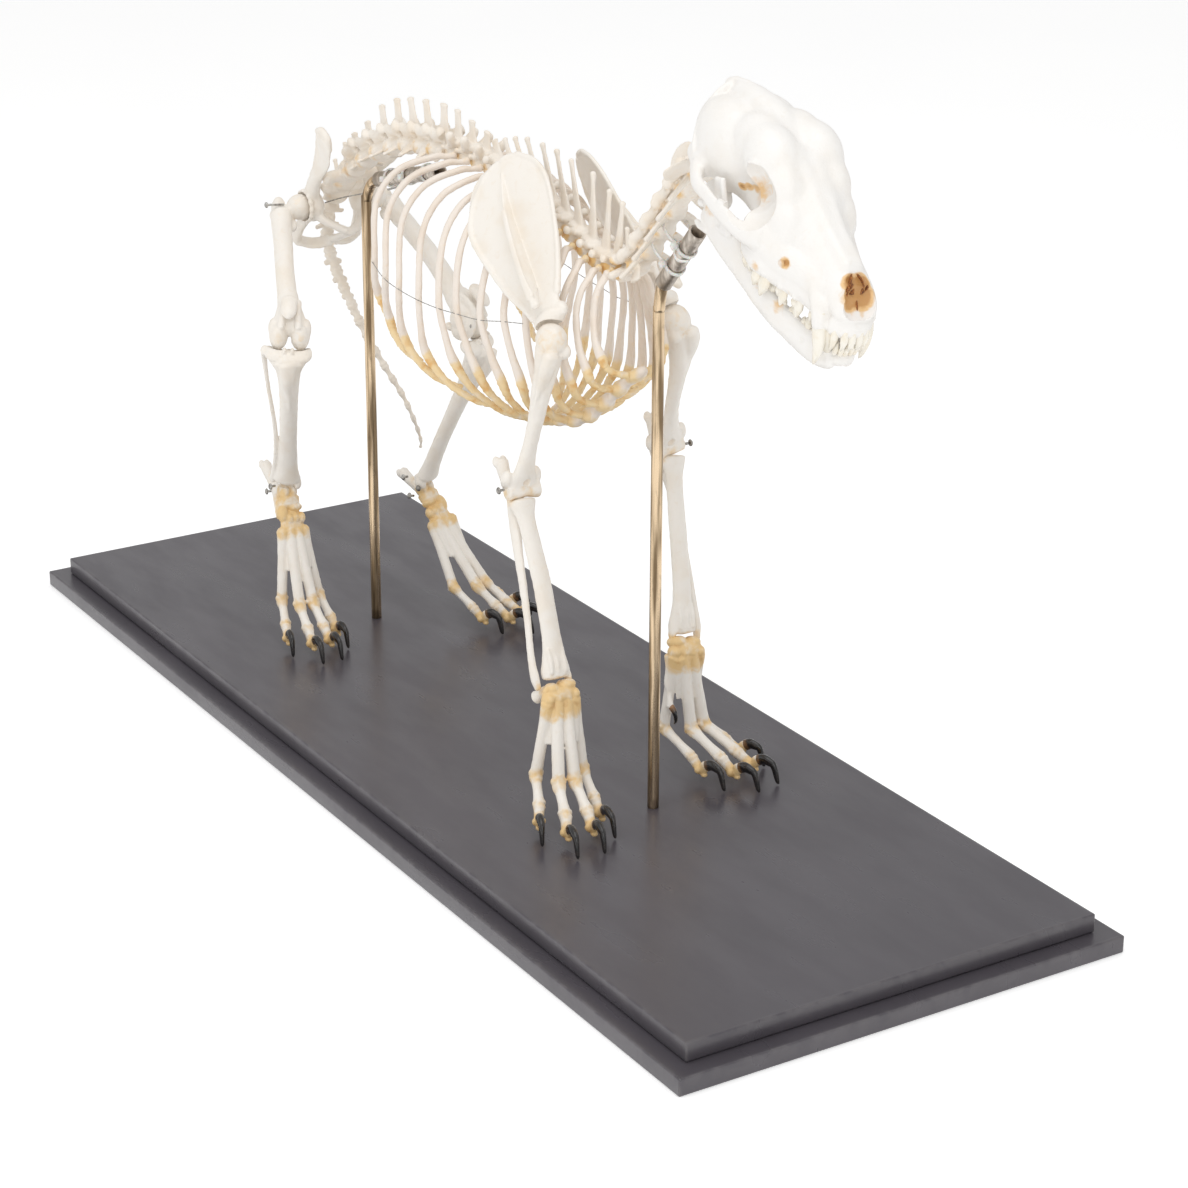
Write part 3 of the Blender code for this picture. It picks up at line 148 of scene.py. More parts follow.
# Rib cage, first rib to last: widest point (x, half width, z) and where bone meets cartilage
RIB_MIDDLES = (
    (155, 25, 371),
    (141, 31, 367),
    (127, 36, 363),
    (112, 40, 360),
    (95, 45, 357),
    (74, 51, 354),
    (50, 57, 350),
    (24, 62, 349),
    (3, 65, 348),
    (-22, 68, 349),
    (-49, 70, 351),
    (-72, 69, 353),
    (-97, 65, 358),
)
RIB_JUNCTIONS = (
    (167, 26, 341),
    (156, 31, 329),
    (140, 35, 318),
    (121, 37, 310),
    (101, 39, 305),
    (81, 41, 303),
    (60, 46, 300),
    (35, 51, 299),
    (10, 56, 300),
    (-26, 60, 298),
    (-61, 60, 302),
    (-90, 57, 309),
    (-112, 54, 322),
)
BREASTBONE = (
    (182, 0, 332, 3.5, 3.5),
    (173, 0, 326, 6.5, 4.5),
    (160, 0, 317, 4.2, 4.2),
    (151, 0, 310, 5.5, 5.5),
    (141, 0, 302, 4.2, 4.4),
    (131, 0, 293.5, 5.6, 5.6),
    (121, 0, 286, 4.4, 4.6),
    (111, 0, 279, 6.0, 5.8),
    (100, 0, 273.5, 4.6, 4.8),
    (89, 0, 269, 6.2, 5.4),
    (78, 0, 265.5, 5.0, 4.4),
    (67, 0, 262.5, 6.2, 4.6),
    (57, 0, 260, 4.8, 3.8),
    (46, 0, 257.5, 4.6, 2.8),
    (28, 0, 254, 4.6, 1.8),
    (14, 0, 251, 4.2, 1.4),
)
BREASTBONE_JOINTS = (
    (173, 326),
    (151, 310),
    (131, 293.5),
    (111, 279),
    (89, 269),
    (67, 262.5),
    (57, 260),
    (48, 258),
    (38, 256),
)

# Where the cartilage of the last four ribs ends, each beside the one before
FREE_ENDS = (
    (26, 24, 265),
    (-12, 38, 273),
    (-52, 50, 285),
    (-99, 55, 307),
)

# Limb joints, right side then left side
SHOULDER = ((147, -54, 352), (149, 50, 351))
ELBOW = ((104, -56, 227), (99, 76, 235))
WRIST = ((161, -60, 98), (145, 61, 102))
HIP = ((-287, -34, 350), (-287, 34, 350))
KNEE = ((-188.5, -96, 266), (-177, 75, 251))
ANKLE = ((-266, -65, 118), (-250, 56, 103))
BLADE_TOP = ((36, -29, 452), (41, 34, 449))
SIDES = (("right", -1, 0), ("left", 1, 1))

# Paws: where each stands, the way it points, and how far its long bones lean forward
FORE_PAW = ((157, -60, -13.0, 0.0), (132, 60, 18.0, -8.0))
HIND_PAW = ((-263, -66, -8.0, 0.0), (-222, 54, 30.0, 0.0))

# Toes two to five as (forward, outward, up): knuckle, middle joint, end joint, claw tip
FORE_TOES = (
    ((15, -18, 32), (36, -20, 17.5), (46, -21, 8.5), (71, -24, 0.5)),
    ((32, -6, 32), (55, -8, 17.5), (67, -8, 8.5), (92, -9, 0.5)),
    ((34, 7, 32), (56, 9, 17.5), (69, 12, 8.5), (94, 12, 0.5)),
    ((14, 18, 32), (35, 22, 17.5), (46, 26, 8.5), (67, 30, 0.5)),
)
HIND_TOES = (
    ((25, -17, 31), (46, -20, 17.5), (56, -21, 8.5), (77, -24, 0.5)),
    ((42, -6, 31), (62, -8, 17.5), (75, -9, 8.5), (99, -11, 0.5)),
    ((43, 6, 31), (63, 6, 17.5), (77, 7, 8.5), (101, 6, 0.5)),
    ((26, 16, 31), (47, 20, 17.5), (58, 22, 8.5), (77, 24, 0.5)),
)

# Skull: the place and turn of its own frame (forward from the nape, left, up from the tooth line)
SKULL_ORIGIN = (263.5, -1.0, 500.0)
SKULL_YAW = -4.5
SKULL_PITCH = -20.0
SKULL_ROLL = -1.5

# The photograph's camera: place above the floor, turn in degrees (yaw, pitch, roll) and focus in pixels
CAMERA_PLACE = (1892.5, -1102.6, 1000.9)
CAMERA_TURN = (148.169, -21.727, 0.205)
CAMERA_FOCUS = 3033.0
FRAME_PIXELS = 1188.0
SENSOR = 36.0

# Share of a fused bone's triangles that is kept, and the larger share for the skull
KEPT_SHARE = 0.38
SKULL_SHARE = 0.55

# Nylon ties: half width and half thickness of the strap, size of the locking head
TIE_STRAP = (1.3, 0.55)
TIE_HEAD = (4.2, 5.0, 4.6)
TIE_GAP = 0.9

# Radii of the pins and wires
HIP_PIN_RADIUS = 0.9
RIB_WIRE_RADIUS = 0.32
HIP_WIRE_RADIUS = 0.5

# Soft studio light: name, place, aim, size in metres and power in watts
WORLD_LIGHT = 0.66
LAMPS = (
    ("over", (0.5, -0.6, 2.6), (0.0, 0.0, 0.2), (2.4, 2.4), 24),
    ("front_left", (2.6, -1.2, 1.3), (0.1, 0.0, 0.3), (1.6, 1.6), 9),
    ("right_side", (-0.6, -2.6, 1.2), (0.0, 0.0, 0.3), (1.8, 1.4), 3),
)

# Screw heads at the joints: place and the way that each points
PIN_HEADS = (
    ((107, -75, 233), (0, -1, 0)),
    ((99, 95, 237), (0, 1, 0)),
    ((-178, 63, 262), (0, -1, 0.2)),
    ((-266, 46, 108), (0, -1, 0)),
    ((-240, 46, 106), (0.3, -1, 0)),
    ((-252, 44, 96), (0, -1, 0.2)),
    ((-268, -78, 122), (0, -1, 0)),
    ((-284, -74, 112), (-0.3, -1, 0)),
)


def unit(vector):
    vector = np.asarray(vector, float)
    return vector / np.linalg.norm(vector)


class Frame:
    """Axes that a bone's own numbers are measured along."""

    def __init__(self, origin, front, out, down, scale=1.0):
        self.origin = np.asarray(origin, float)
        self.axes = np.array([front, out, down], float) * scale
        self.scale = scale

    def at(self, front, out, down):
        return self.origin + np.array([front, out, down]) @ self.axes

    def direction(self, front, out, down):
        return unit(np.array([front, out, down]) @ self.axes)

    def rows(self, rows):
        """Rows of (front, out, down, half width, half depth) in world positions."""
        return [(*self.at(*row[:3]), row[3] * self.scale, row[4] * self.scale) for row in rows]


def limb_frame(top, bottom, side, nominal, front_hint=(1, 0, 0)):
    """A frame down a long bone: front first, outward second, down third, scaled to its nominal length."""
    top = np.asarray(top, float)
    bottom = np.asarray(bottom, float)
    down = unit(bottom - top)
    front = np.asarray(front_hint, float)
    front = unit(front - down * (front @ down))
    out = np.cross(down, front)
    if out[1] * side < 0:
        out = -out
    return Frame(top, front, out, down, np.linalg.norm(bottom - top) / nominal)


def skull_frame():
    yaw, pitch, roll = (math.radians(a) for a in (SKULL_YAW, SKULL_PITCH, SKULL_ROLL))
    forward = np.array([math.cos(pitch) * math.cos(yaw), math.cos(pitch) * math.sin(yaw), math.sin(pitch)])
    level_left = np.array([-math.sin(yaw), math.cos(yaw), 0.0])
    level_up = np.cross(forward, level_left)
    left = level_left * math.cos(roll) + level_up * math.sin(roll)
    up = np.cross(forward, left)
    return Frame(SKULL_ORIGIN, forward, left, up)


def curve_rows(rows, steps):
    """Points on the smooth curve through the rows (Catmull-Rom), steps to each stretch."""
    rows = np.asarray(rows, float)
    padded = np.vstack([2 * rows[0] - rows[1], rows, 2 * rows[-1] - rows[-2]])
    found = []
    for i in range(1, len(padded) - 2):
        p0, p1, p2, p3 = padded[i - 1 : i + 3]
        for k in range(steps):
            t = k / steps
            found.append(
                0.5 * (2 * p1 + (p2 - p0) * t + (2 * p0 - 5 * p1 + 4 * p2 - p3) * t * t
                       + (3 * p1 - p0 - 3 * p2 + p3) * t * t * t)
            )
    found.append(rows[-1])
    return np.array(found)


def loft(forms, rows, wide=(0, 1, 0), sides=10, steps=2, dome=0.7):
    """Adds a closed form swept through rows of (x, y, z, half width along wide, half depth)."""
    rows = curve_rows(rows, steps) if steps > 1 else np.asarray(rows, float)
    centres = rows[:, :3]
    tangents = np.gradient(centres, axis=0)
    tangents /= np.linalg.norm(tangents, axis=1)[:, None]
    wide = np.asarray(wide, float)
    if wide.ndim == 1:
        wide = np.tile(wide, (len(rows), 1))
    across = wide - tangents * (wide * tangents).sum(1)[:, None]
    across /= np.linalg.norm(across, axis=1)[:, None]
    depth = np.cross(tangents, across)
    angles = np.arange(sides) * 2 * math.pi / sides
    circle = np.stack([np.cos(angles), np.sin(angles)], 1)

    def ring(i, shift, scale):
        half_width, half_depth = rows[i, 3] * scale, rows[i, 4] * scale
        return (centres[i] + tangents[i] * shift
                + circle[:, :1] * half_width * across[i] + circle[:, 1:] * half_depth * depth[i])

    rings = []
    if dome:
        rings.append(ring(0, -dome * 0.6 * min(rows[0, 3:5]), 0.72))
    rings += [ring(i, 0, 1) for i in range(len(rows))]
    if dome:
        rings.append(ring(-1, dome * 0.6 * min(rows[-1, 3:5]), 0.72))
    first = centres[0] - tangents[0] * dome * min(rows[0, 3:5])
    last = centres[-1] + tangents[-1] * dome * min(rows[-1, 3:5])
    verts = np.vstack([*rings, first, last])
    faces = []
    for r in range(len(rings) - 1):
        for s in range(sides):
            t = (s + 1) % sides
            faces.append((r * sides + s, r * sides + t, (r + 1) * sides + t, (r + 1) * sides + s))
    top = len(rings) * sides
    for s in range(sides):
        t = (s + 1) % sides
        faces.append((t, s, top))
        faces.append(((len(rings) - 1) * sides + s, (len(rings) - 1) * sides + t, top + 1))
    forms.append((verts, faces))


def ball(forms, centre, radii, axes=None, sides=10):
    """Adds an ellipsoid with its radii along the given axes."""
    axes = np.eye(3) if axes is None else np.array([unit(a) for a in axes])
    radii = np.broadcast_to(np.asarray(radii, float), 3)
    levels = max(4, sides // 2)
    verts, faces = [], []
    for k in range(1, levels):
        polar = math.pi * k / levels
        for s in range(sides):
            turn = 2 * math.pi * s / sides
            verts.append((math.sin(polar) * math.cos(turn), math.sin(polar) * math.sin(turn),
                          math.cos(polar)))
    verts += [(0, 0, 1), (0, 0, -1)]
    for k in range(levels - 2):
        for s in range(sides):
            t = (s + 1) % sides
            faces.append((k * sides + s, (k + 1) * sides + s, (k + 1) * sides + t, k * sides + t))
    top, bottom = len(verts) - 2, len(verts) - 1
    for s in range(sides):
        t = (s + 1) % sides
        faces.append((top, s, t))
        faces.append((bottom, (levels - 2) * sides + t, (levels - 2) * sides + s))
    forms.append((np.asarray(centre, float) + np.array(verts) * radii @ axes, faces))


def place(points):
    """Millimetres above the board's top, as metres above the floor."""
    return (np.asarray(points, float) + [0, 0, BOARD_TOP]) * MM


def mesh_object(name, verts, faces, material):
    mesh = bpy.data.meshes.new(name)
    mesh.from_pydata([tuple(v) for v in verts], [], [tuple(f) for f in faces])
    work = bmesh.new()
    work.from_mesh(mesh)
    bmesh.ops.recalc_face_normals(work, faces=work.faces)
    work.to_mesh(mesh)
    work.free()
    obj = bpy.data.objects.new(name, mesh)
    bpy.context.scene.collection.objects.link(obj)
    obj.data.materials.append(material)
    mesh.shade_smooth()
    return obj


def joined(forms):
    verts, faces, start = [], [], 0
    for points, polygons in forms:
        verts.append(points)
        faces += [tuple(i + start for i in polygon) for polygon in polygons]
        start += len(points)
    return np.vstack(verts), faces


def dress(obj, nodes=()):
    """Puts a piece on the one body, in place of the solids that it stands for."""
    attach(obj, "root")
    if nodes:
        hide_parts(*nodes)
    return obj


def sway(points, size, seed):
    """Smooth noise of about -1 to 1 whose features have the given size."""
    rng = np.random.default_rng(seed)
    total = np.zeros(len(points))
    for _ in range(7):
        wave = unit(rng.normal(size=3)) * rng.uniform(0.7, 1.4) * 2 * math.pi / size
        bend = 1.3 * np.sin(points @ wave[[1, 2, 0]] * 0.7)
        total += np.sin(points @ wave + rng.uniform(0, 2 * math.pi) + bend)
    return total / 3.5


def spots_at(points, sources):
    """How strongly each point is marked by spots given as (x, y, z, reach, strength)."""
    total = np.zeros(len(points))
    low, high = points.min(0), points.max(0)
    for x, y, z, reach, strength in sources:
        spot = np.array((x, y, z))
        if (spot < low - reach).any() or (spot > high + reach).any():
            continue
        away = np.linalg.norm(points - spot, axis=1) / reach
        total = np.maximum(total, strength * np.clip(1 - away, 0, 1) ** 0.7)
    return total


def take_result(obj):
    """Replaces an object's mesh with what its modifiers make, without the shells inside it."""
    graph = bpy.context.evaluated_depsgraph_get()
    result = bpy.data.meshes.new_from_object(obj.evaluated_get(graph))
    obj.modifiers.clear()
    rough = obj.data
    obj.data = result
    bpy.data.meshes.remove(rough)
    ends = np.empty(len(result.edges) * 2, np.int32)
    result.edges.foreach_get("vertices", ends)
    a, b = ends.reshape(-1, 2).T
    label = np.arange(len(result.vertices))
    while True:
        low = np.minimum(label[a], label[b])
        fresh = label.copy()
        np.minimum.at(fresh, a, low)
        np.minimum.at(fresh, b, low)
        fresh = fresh[fresh]
        if (fresh == label).all():
            break
        label = fresh
    shells, sizes = np.unique(label, return_counts=True)
    if len(shells) > 1:
        keep = shells[sizes.argmax()]
        work = bmesh.new()
        work.from_mesh(result)
        work.verts.ensure_lookup_table()
        spare = [work.verts[i] for i in np.flatnonzero(label != keep)]
        bmesh.ops.delete(work, geom=spare, context="VERTS")
        work.to_mesh(result)
        work.free()
    result.shade_smooth()


def press(mesh, sockets, ends):
    """Pushes points out of each socket (centre, radius) and back to each end (point, direction, reach)."""
    points = np.empty(len(mesh.vertices) * 3)
    mesh.vertices.foreach_get("co", points)
    points = points.reshape(-1, 3)
    for centre, radius in sockets:
        away = points - place(centre)
        distance = np.linalg.norm(away, axis=1)
        inside = distance < radius * MM
        points[inside] += away[inside] * (radius * MM / np.maximum(distance[inside], 1e-9) - 1)[:, None]
    for point, direction, reach in ends:
        away = points - place(point)
        past = away @ direction
        over = (past > 0) & (np.linalg.norm(away, axis=1) < reach * MM)
        points[over] -= past[over][:, None] * direction
    mesh.vertices.foreach_set("co", points.ravel())
    mesh.update()


def weather_and_shade(mesh, relief, sources):
    """Roughens a bone a little and notes for its material its stains (on the skull also painted shade
    spots) and how strongly painted shade darkens each crevice, from how cupped the surface is.
    """
    count = len(mesh.vertices)
    points = np.empty(count * 3)
    mesh.vertices.foreach_get("co", points)
    points = points.reshape(-1, 3) / MM - [0, 0, BOARD_TOP]
    normals = np.empty(count * 3, np.float32)
    mesh.vertex_normals.foreach_get("vector", normals)
    normals = normals.reshape(-1, 3)
    ends = np.empty(len(mesh.edges) * 2, np.int32)
    mesh.edges.foreach_get("vertices", ends)
    a, b = ends.reshape(-1, 2).T
    degree = np.maximum(np.bincount(a, minlength=count) + np.bincount(b, minlength=count), 1)

    def around(values):
        return (np.bincount(a, values[b], count) + np.bincount(b, values[a], count)) / degree

    reach = np.linalg.norm(points[a] - points[b], axis=1).mean()
    drawn = np.stack([around(points[:, k]) for k in range(3)], 1) - points
    # How cupped the surface is at each point: how strongly its crevices get painted shade.
    cavity_shade = 4 * (drawn * normals).sum(1) / reach ** 2
    for _ in range(3):
        cavity_shade = (cavity_shade + around(cavity_shade)) / 2
    lift = relief * (sway(points, 11, 1) + 0.45 * sway(points, 3.4, 2) + 0.25 * sway(points, 1.9, 3))
    moved = points + normals * lift[:, None]
    mesh.vertices.foreach_set("co", place(moved).ravel())
    mesh.update()
    note(mesh, "stain_and_shade", spots_at(points, sources))
    note(mesh, "cavity_shade", np.clip(cavity_shade, -1, 1))


def note(mesh, name, values):
    layer = mesh.attributes.new(name, "FLOAT", "POINT")
    layer.data.foreach_set("value", np.asarray(values, np.float32))


def fused(name, forms, look, voxel, rounding):
    """The forms as one closed mesh, smoothed the given number of rounds."""
    verts, faces = joined(forms)
    obj = mesh_object(name, place(verts), faces, look)
    fuse = obj.modifiers.new("Fuse", "REMESH")
    fuse.mode = "VOXEL"
    fuse.voxel_size = voxel * MM
    soften = obj.modifiers.new("Soften", "SMOOTH")
    soften.factor = 0.5
    soften.iterations = rounding
    take_result(obj)
    return obj


def grown(name, forms, look, voxel, rounding, sockets=(), ends=(), relief=0.1, keep=KEPT_SHARE):
    """One fine bone: its forms fused, pressed clear of its neighbours, thinned, weathered and given its
    notes for stains and painted shade.
    """
    obj = fused(name, forms, look, voxel, rounding)
    press(obj.data, sockets, ends)
    thin = obj.modifiers.new("Thin", "DECIMATE")
    thin.ratio = keep
    take_result(obj)
    weather_and_shade(obj.data, relief, STAINS_AND_SHADE)
    return dress(obj, (name.removesuffix("_fine"),))


def softened(forms, voxel, rounding):
    """The forms fused and smoothed into one, to grow finer forms on."""
    obj = fused("soft", forms, HEAD, voxel, rounding)
    points = np.array([v.co for v in obj.data.vertices]) / MM - [0, 0, BOARD_TOP]
    polygons = [tuple(p.vertices) for p in obj.data.polygons]
    bpy.data.objects.remove(obj)
    return points, polygons


def merged(name, forms, look, nodes=()):
    """A piece of several closed forms that are left as they are."""
    verts, faces = joined(forms)
    return dress(mesh_object(name, place(verts), faces, look), nodes)


class Paint:
    """A Principled material and short names for the nodes that feed it."""

    def __init__(self, name, roughness, metallic=0.0):
        self.material = bpy.data.materials.new(name)
        self.material.use_nodes = True
        self.nodes = self.material.node_tree.nodes
        self.links = self.material.node_tree.links
        self.shader = self.nodes["Principled BSDF"]
        self.shader.inputs["Roughness"].default_value = roughness
        self.shader.inputs["Metallic"].default_value = metallic
        self.place = self.nodes.new("ShaderNodeTexCoord").outputs["Object"]

    def set(self, socket, value):
        if isinstance(value, (int, float, tuple)):
            socket.default_value = value
        else:
            self.links.new(value, socket)

    def noise(self, scale, detail=3.0, stretch=(1, 1, 1), warp=0.0):
        mapping = self.nodes.new("ShaderNodeMapping")
        mapping.inputs["Scale"].default_value = stretch
        self.links.new(self.place, mapping.inputs["Vector"])
        texture = self.nodes.new("ShaderNodeTexNoise")
        texture.inputs["Scale"].default_value = scale
        texture.inputs["Detail"].default_value = detail
        texture.inputs["Distortion"].default_value = warp
        self.links.new(mapping.outputs["Vector"], texture.inputs["Vector"])
        return texture.outputs["Fac"]

    def cells(self, scale):
        texture = self.nodes.new("ShaderNodeTexVoronoi")
        texture.inputs["Scale"].default_value = scale
        self.links.new(self.place, texture.inputs["Vector"])
        return texture.outputs["Distance"]

    def note(self, name):
        attribute = self.nodes.new("ShaderNodeAttribute")
        attribute.attribute_name = name
        return attribute.outputs["Fac"]

    def span(self, value, low, high, bottom=0.0, top=1.0):
        scale = self.nodes.new("ShaderNodeMapRange")
        scale.interpolation_type = "SMOOTHSTEP"
        for socket, number in (("From Min", low), ("From Max", high), ("To Min", bottom), ("To Max", top)):
            scale.inputs[socket].default_value = number
        self.set(scale.inputs["Value"], value)
        return scale.outputs["Result"]

    def math(self, operation, a, b=0.0):
        node = self.nodes.new("ShaderNodeMath")
        node.operation = operation
        self.set(node.inputs[0], a)
        self.set(node.inputs[1], b)
        return node.outputs[0]

    def mix(self, share, a, b):
        node = self.nodes.new("ShaderNodeMix")
        node.data_type = "RGBA"
        self.set(node.inputs[0], share)
        self.set(node.inputs[6], (*a, 1.0) if isinstance(a, tuple) else a)
        self.set(node.inputs[7], (*b, 1.0) if isinstance(b, tuple) else b)
        return node.outputs[2]

    def colour(self, value):
        self.set(self.shader.inputs["Base Color"], value)

    def bump(self, height, strength, distance):
        node = self.nodes.new("ShaderNodeBump")
        node.inputs["Strength"].default_value = strength
        node.inputs["Distance"].default_value = distance
        self.links.new(height, node.inputs["Height"])
        self.links.new(node.outputs["Normal"], self.shader.inputs["Normal"])


def bone_paint(name, pale, warm, stain_and_shade, deep, shade, blotch=0.5, roughness=0.42):
    """Dry bone: pale with warm blotches, stained by the noted spots (on the skull these also paint shade
    into its eye sockets and openings) and darkened in its crevices by painted shade.
    """
    paint = Paint(name, roughness)
    colour = paint.mix(paint.span(paint.noise(42, 4), 0.42, 0.72, 0, blotch), pale, warm)
    colour = paint.mix(paint.span(paint.noise(210, 3, warp=0.6), 0.55, 0.75, 0, 0.35), colour, warm)
    patches = paint.math("MULTIPLY", paint.noise(150, 5, warp=0.8), 0.8)
    spots = paint.math("ADD", paint.note("stain_and_shade"), patches)
    colour = paint.mix(paint.span(spots, 0.6, 1.1, 0, 0.9), colour, stain_and_shade)
    colour = paint.mix(paint.span(spots, 1.15, 1.55, 0, 0.85), colour, deep)
    # Painted shade: crevices darkened towards the finish's orange colour and then its deep colour.
    cavity_shade = paint.math("ADD", paint.note("cavity_shade"), paint.math("MULTIPLY", paint.noise(260, 3), 0.22))
    colour = paint.mix(paint.span(cavity_shade, 0.25, 0.9, 0, shade), colour, stain_and_shade)
    colour = paint.mix(paint.span(cavity_shade, 0.6, 1.2, 0, shade), colour, deep)
    pits = paint.span(paint.cells(520), 0.05, 0.22)
    pocked = paint.math("MULTIPLY", paint.math("SUBTRACT", 1.0, pits), 0.18)
    colour = paint.mix(pocked, colour, warm)
    paint.colour(colour)
    grain = paint.math("ADD", paint.noise(900, 3), paint.math("MULTIPLY", pits, 0.5))
    grain = paint.math("ADD", grain, paint.math("MULTIPLY", paint.noise(190, 4), 1.2))
    paint.bump(grain, 0.2, 0.0006)
    dull = paint.span(paint.noise(120, 3), 0.3, 0.7, roughness - 0.08, roughness + 0.12)
    paint.set(paint.shader.inputs["Roughness"], dull)
    return paint.material


def lacquer_paint():
    """Dark satin lacquer with fine brushed streaks, faint dust and lighter worn edges."""
    paint = Paint("SatinLacquer", 0.34)
    cloud = paint.noise(9, 5, (1, 2.2, 1))
    colour = paint.mix(paint.span(cloud, 0.35, 0.7), (0.066, 0.059, 0.069), (0.077, 0.069, 0.08))
    dust = paint.span(paint.noise(420, 4), 0.68, 0.8, 0, 0.05)
    colour = paint.mix(dust, colour, (0.2, 0.19, 0.19))
    worn = paint.math("MULTIPLY", paint.note("worn"), paint.span(paint.noise(60, 5, warp=1.0), 0.35, 0.62))
    colour = paint.mix(paint.math("MULTIPLY", worn, 0.5), colour, (0.24, 0.225, 0.22))
    paint.colour(colour)
    streak = paint.noise(240, 3, (0.12, 1, 1))
    fine = paint.math("ADD", streak, paint.math("MULTIPLY", paint.noise(1100, 2), 0.5))
    paint.bump(fine, 0.05, 0.0003)
    dull = paint.span(paint.noise(26, 4, (0.5, 1.6, 1)), 0.3, 0.7, 0.26, 0.42)
    paint.set(paint.shader.inputs["Roughness"], dull)
    paint.shader.inputs["Coat Weight"].default_value = 0.25
    paint.shader.inputs["Coat Roughness"].default_value = 0.2
    return paint.material


def brass_paint():
    """Old drawn brass: long darker and brighter streaks with tarnish spots."""
    paint = Paint("DrawnBrass", 0.26, 1.0)
    streak = paint.noise(260, 4, (1, 1, 0.05))
    colour = paint.mix(paint.span(streak, 0.36, 0.64), (0.22, 0.155, 0.09), (0.74, 0.57, 0.38))
    tarnish = paint.span(paint.noise(120, 5, (1, 1, 0.4), 1.2), 0.6, 0.78, 0, 0.5)
    colour = paint.mix(tarnish, colour, (0.12, 0.085, 0.055))
    paint.colour(colour)
    paint.bump(paint.noise(700, 3, (1, 1, 0.06)), 0.12, 0.0003)
    paint.set(paint.shader.inputs["Roughness"], paint.span(streak, 0.3, 0.7, 0.42, 0.2))
    return paint.material


def steel_paint(name="TubeSteel", pale=(0.7, 0.64, 0.57), dark=(0.4, 0.35, 0.3)):
    """Grey steel with drawn streaks and a little dark oxide."""
    paint = Paint(name, 0.3, 1.0)
    streak = paint.noise(300, 4, (1, 1, 0.3))
    colour = paint.mix(paint.span(streak, 0.35, 0.7), dark, pale)
    oxide = paint.span(paint.noise(90, 5, warp=1.0), 0.6, 0.78, 0, 0.4)
    colour = paint.mix(oxide, colour, (0.16, 0.14, 0.125))
    paint.colour(colour)
    paint.bump(paint.noise(800, 3), 0.12, 0.0003)
    paint.set(paint.shader.inputs["Roughness"], paint.span(paint.noise(160, 3), 0.3, 0.7, 0.36, 0.55))
    return paint.material


def tooth_paint():
    """Smooth ivory enamel, browner towards the root and in the grooves."""
    paint = Paint("Enamel", 0.2)
    root = paint.math("ADD", paint.note("root"), paint.math("MULTIPLY", paint.noise(300, 4, warp=0.8), 0.5))
    colour = paint.mix(paint.span(paint.noise(160, 4), 0.4, 0.7), (0.9, 0.86, 0.77), (0.86, 0.79, 0.66))
    colour = paint.mix(paint.span(root, 0.75, 1.35, 0, 0.8), colour, (0.5, 0.33, 0.17))
    paint.colour(colour)
    paint.bump(paint.noise(500, 3, (1, 1, 0.3)), 0.08, 0.0003)
    paint.shader.inputs["Coat Weight"].default_value = 0.3
    return paint.material


def claw_paint():
    """Glossy dark horn, ribbed along its length and brown at its base."""
    paint = Paint("ClawHorn", 0.16)
    base = paint.math("ADD", paint.note("root"), paint.math("MULTIPLY", paint.noise(380, 4), 0.4))
    streak = paint.span(paint.noise(240, 4), 0.4, 0.7)
    colour = paint.mix(streak, (0.008, 0.007, 0.007), (0.022, 0.016, 0.013))
    colour = paint.mix(paint.span(base, 0.8, 1.3), colour, (0.3, 0.15, 0.06))
    paint.colour(colour)
    paint.bump(paint.noise(900, 3), 0.25, 0.0004)
    paint.shader.inputs["Coat Weight"].default_value = 0.4
    return paint.material


def nylon_paint():
    """Translucent white nylon."""
    paint = Paint("Nylon", 0.35)
    cloud = paint.span(paint.noise(300, 3), 0.35, 0.7)
    paint.colour(paint.mix(cloud, (0.83, 0.83, 0.8), (0.7, 0.69, 0.65)))
    paint.bump(paint.noise(1400, 2), 0.1, 0.0002)
    paint.shader.inputs["Subsurface Weight"].default_value = 0.2
    paint.shader.inputs["Subsurface Scale"].default_value = 0.002
    return paint.material


def turbinate_paint():
    """Thin scrolls of rust-brown bone inside the nose."""
    paint = Paint("NoseScrolls", 0.6)
    crumb = paint.noise(420, 5, warp=1.5)
    colour = paint.mix(paint.span(crumb, 0.3, 0.7), (0.09, 0.025, 0.008), (0.46, 0.17, 0.04))
    paint.colour(colour)
    paint.bump(crumb, 0.8, 0.0012)
    return paint.material


def floor_paint():
    paint = Paint("PaleFloor", 0.55)
    paint.colour(paint.mix(paint.noise(3, 2), (0.93, 0.93, 0.93), (0.955, 0.955, 0.95)))
    paint.shader.inputs["Emission Color"].default_value = (1, 1, 1, 1)
    paint.shader.inputs["Emission Strength"].default_value = 0.3
    return paint.material


# Finishes
# The single number after the four colours of each bone finish is how strongly painted shade darkens its
# crevices.
LIMB = bone_paint("LimbBone", (0.88, 0.835, 0.77), (0.83, 0.74, 0.62), (0.8, 0.54, 0.22),
                  (0.56, 0.3, 0.1), 0.12)
HEAD = bone_paint("SkullBone", (0.89, 0.87, 0.84), (0.86, 0.81, 0.74), (0.8, 0.5, 0.2), (0.5, 0.24, 0.07),
                  0.12, 0.4)
SPINE = bone_paint("SpineBone", (0.87, 0.81, 0.73), (0.82, 0.7, 0.55), (0.82, 0.53, 0.19),
                   (0.6, 0.3, 0.08), 0.45)
CAGE = bone_paint("RibBone", (0.85, 0.77, 0.69), (0.78, 0.65, 0.52), (0.86, 0.65, 0.34),
                  (0.74, 0.42, 0.13), 0.3)
LACQUER = lacquer_paint()
BRASS = brass_paint()
STEEL = steel_paint()
PIN_STEEL = steel_paint("PinSteel", (0.62, 0.61, 0.58), (0.24, 0.22, 0.2))
TOOTH = tooth_paint()
CLAW = claw_paint()
NYLON = nylon_paint()
SCROLLS = turbinate_paint()
FLOOR = floor_paint()


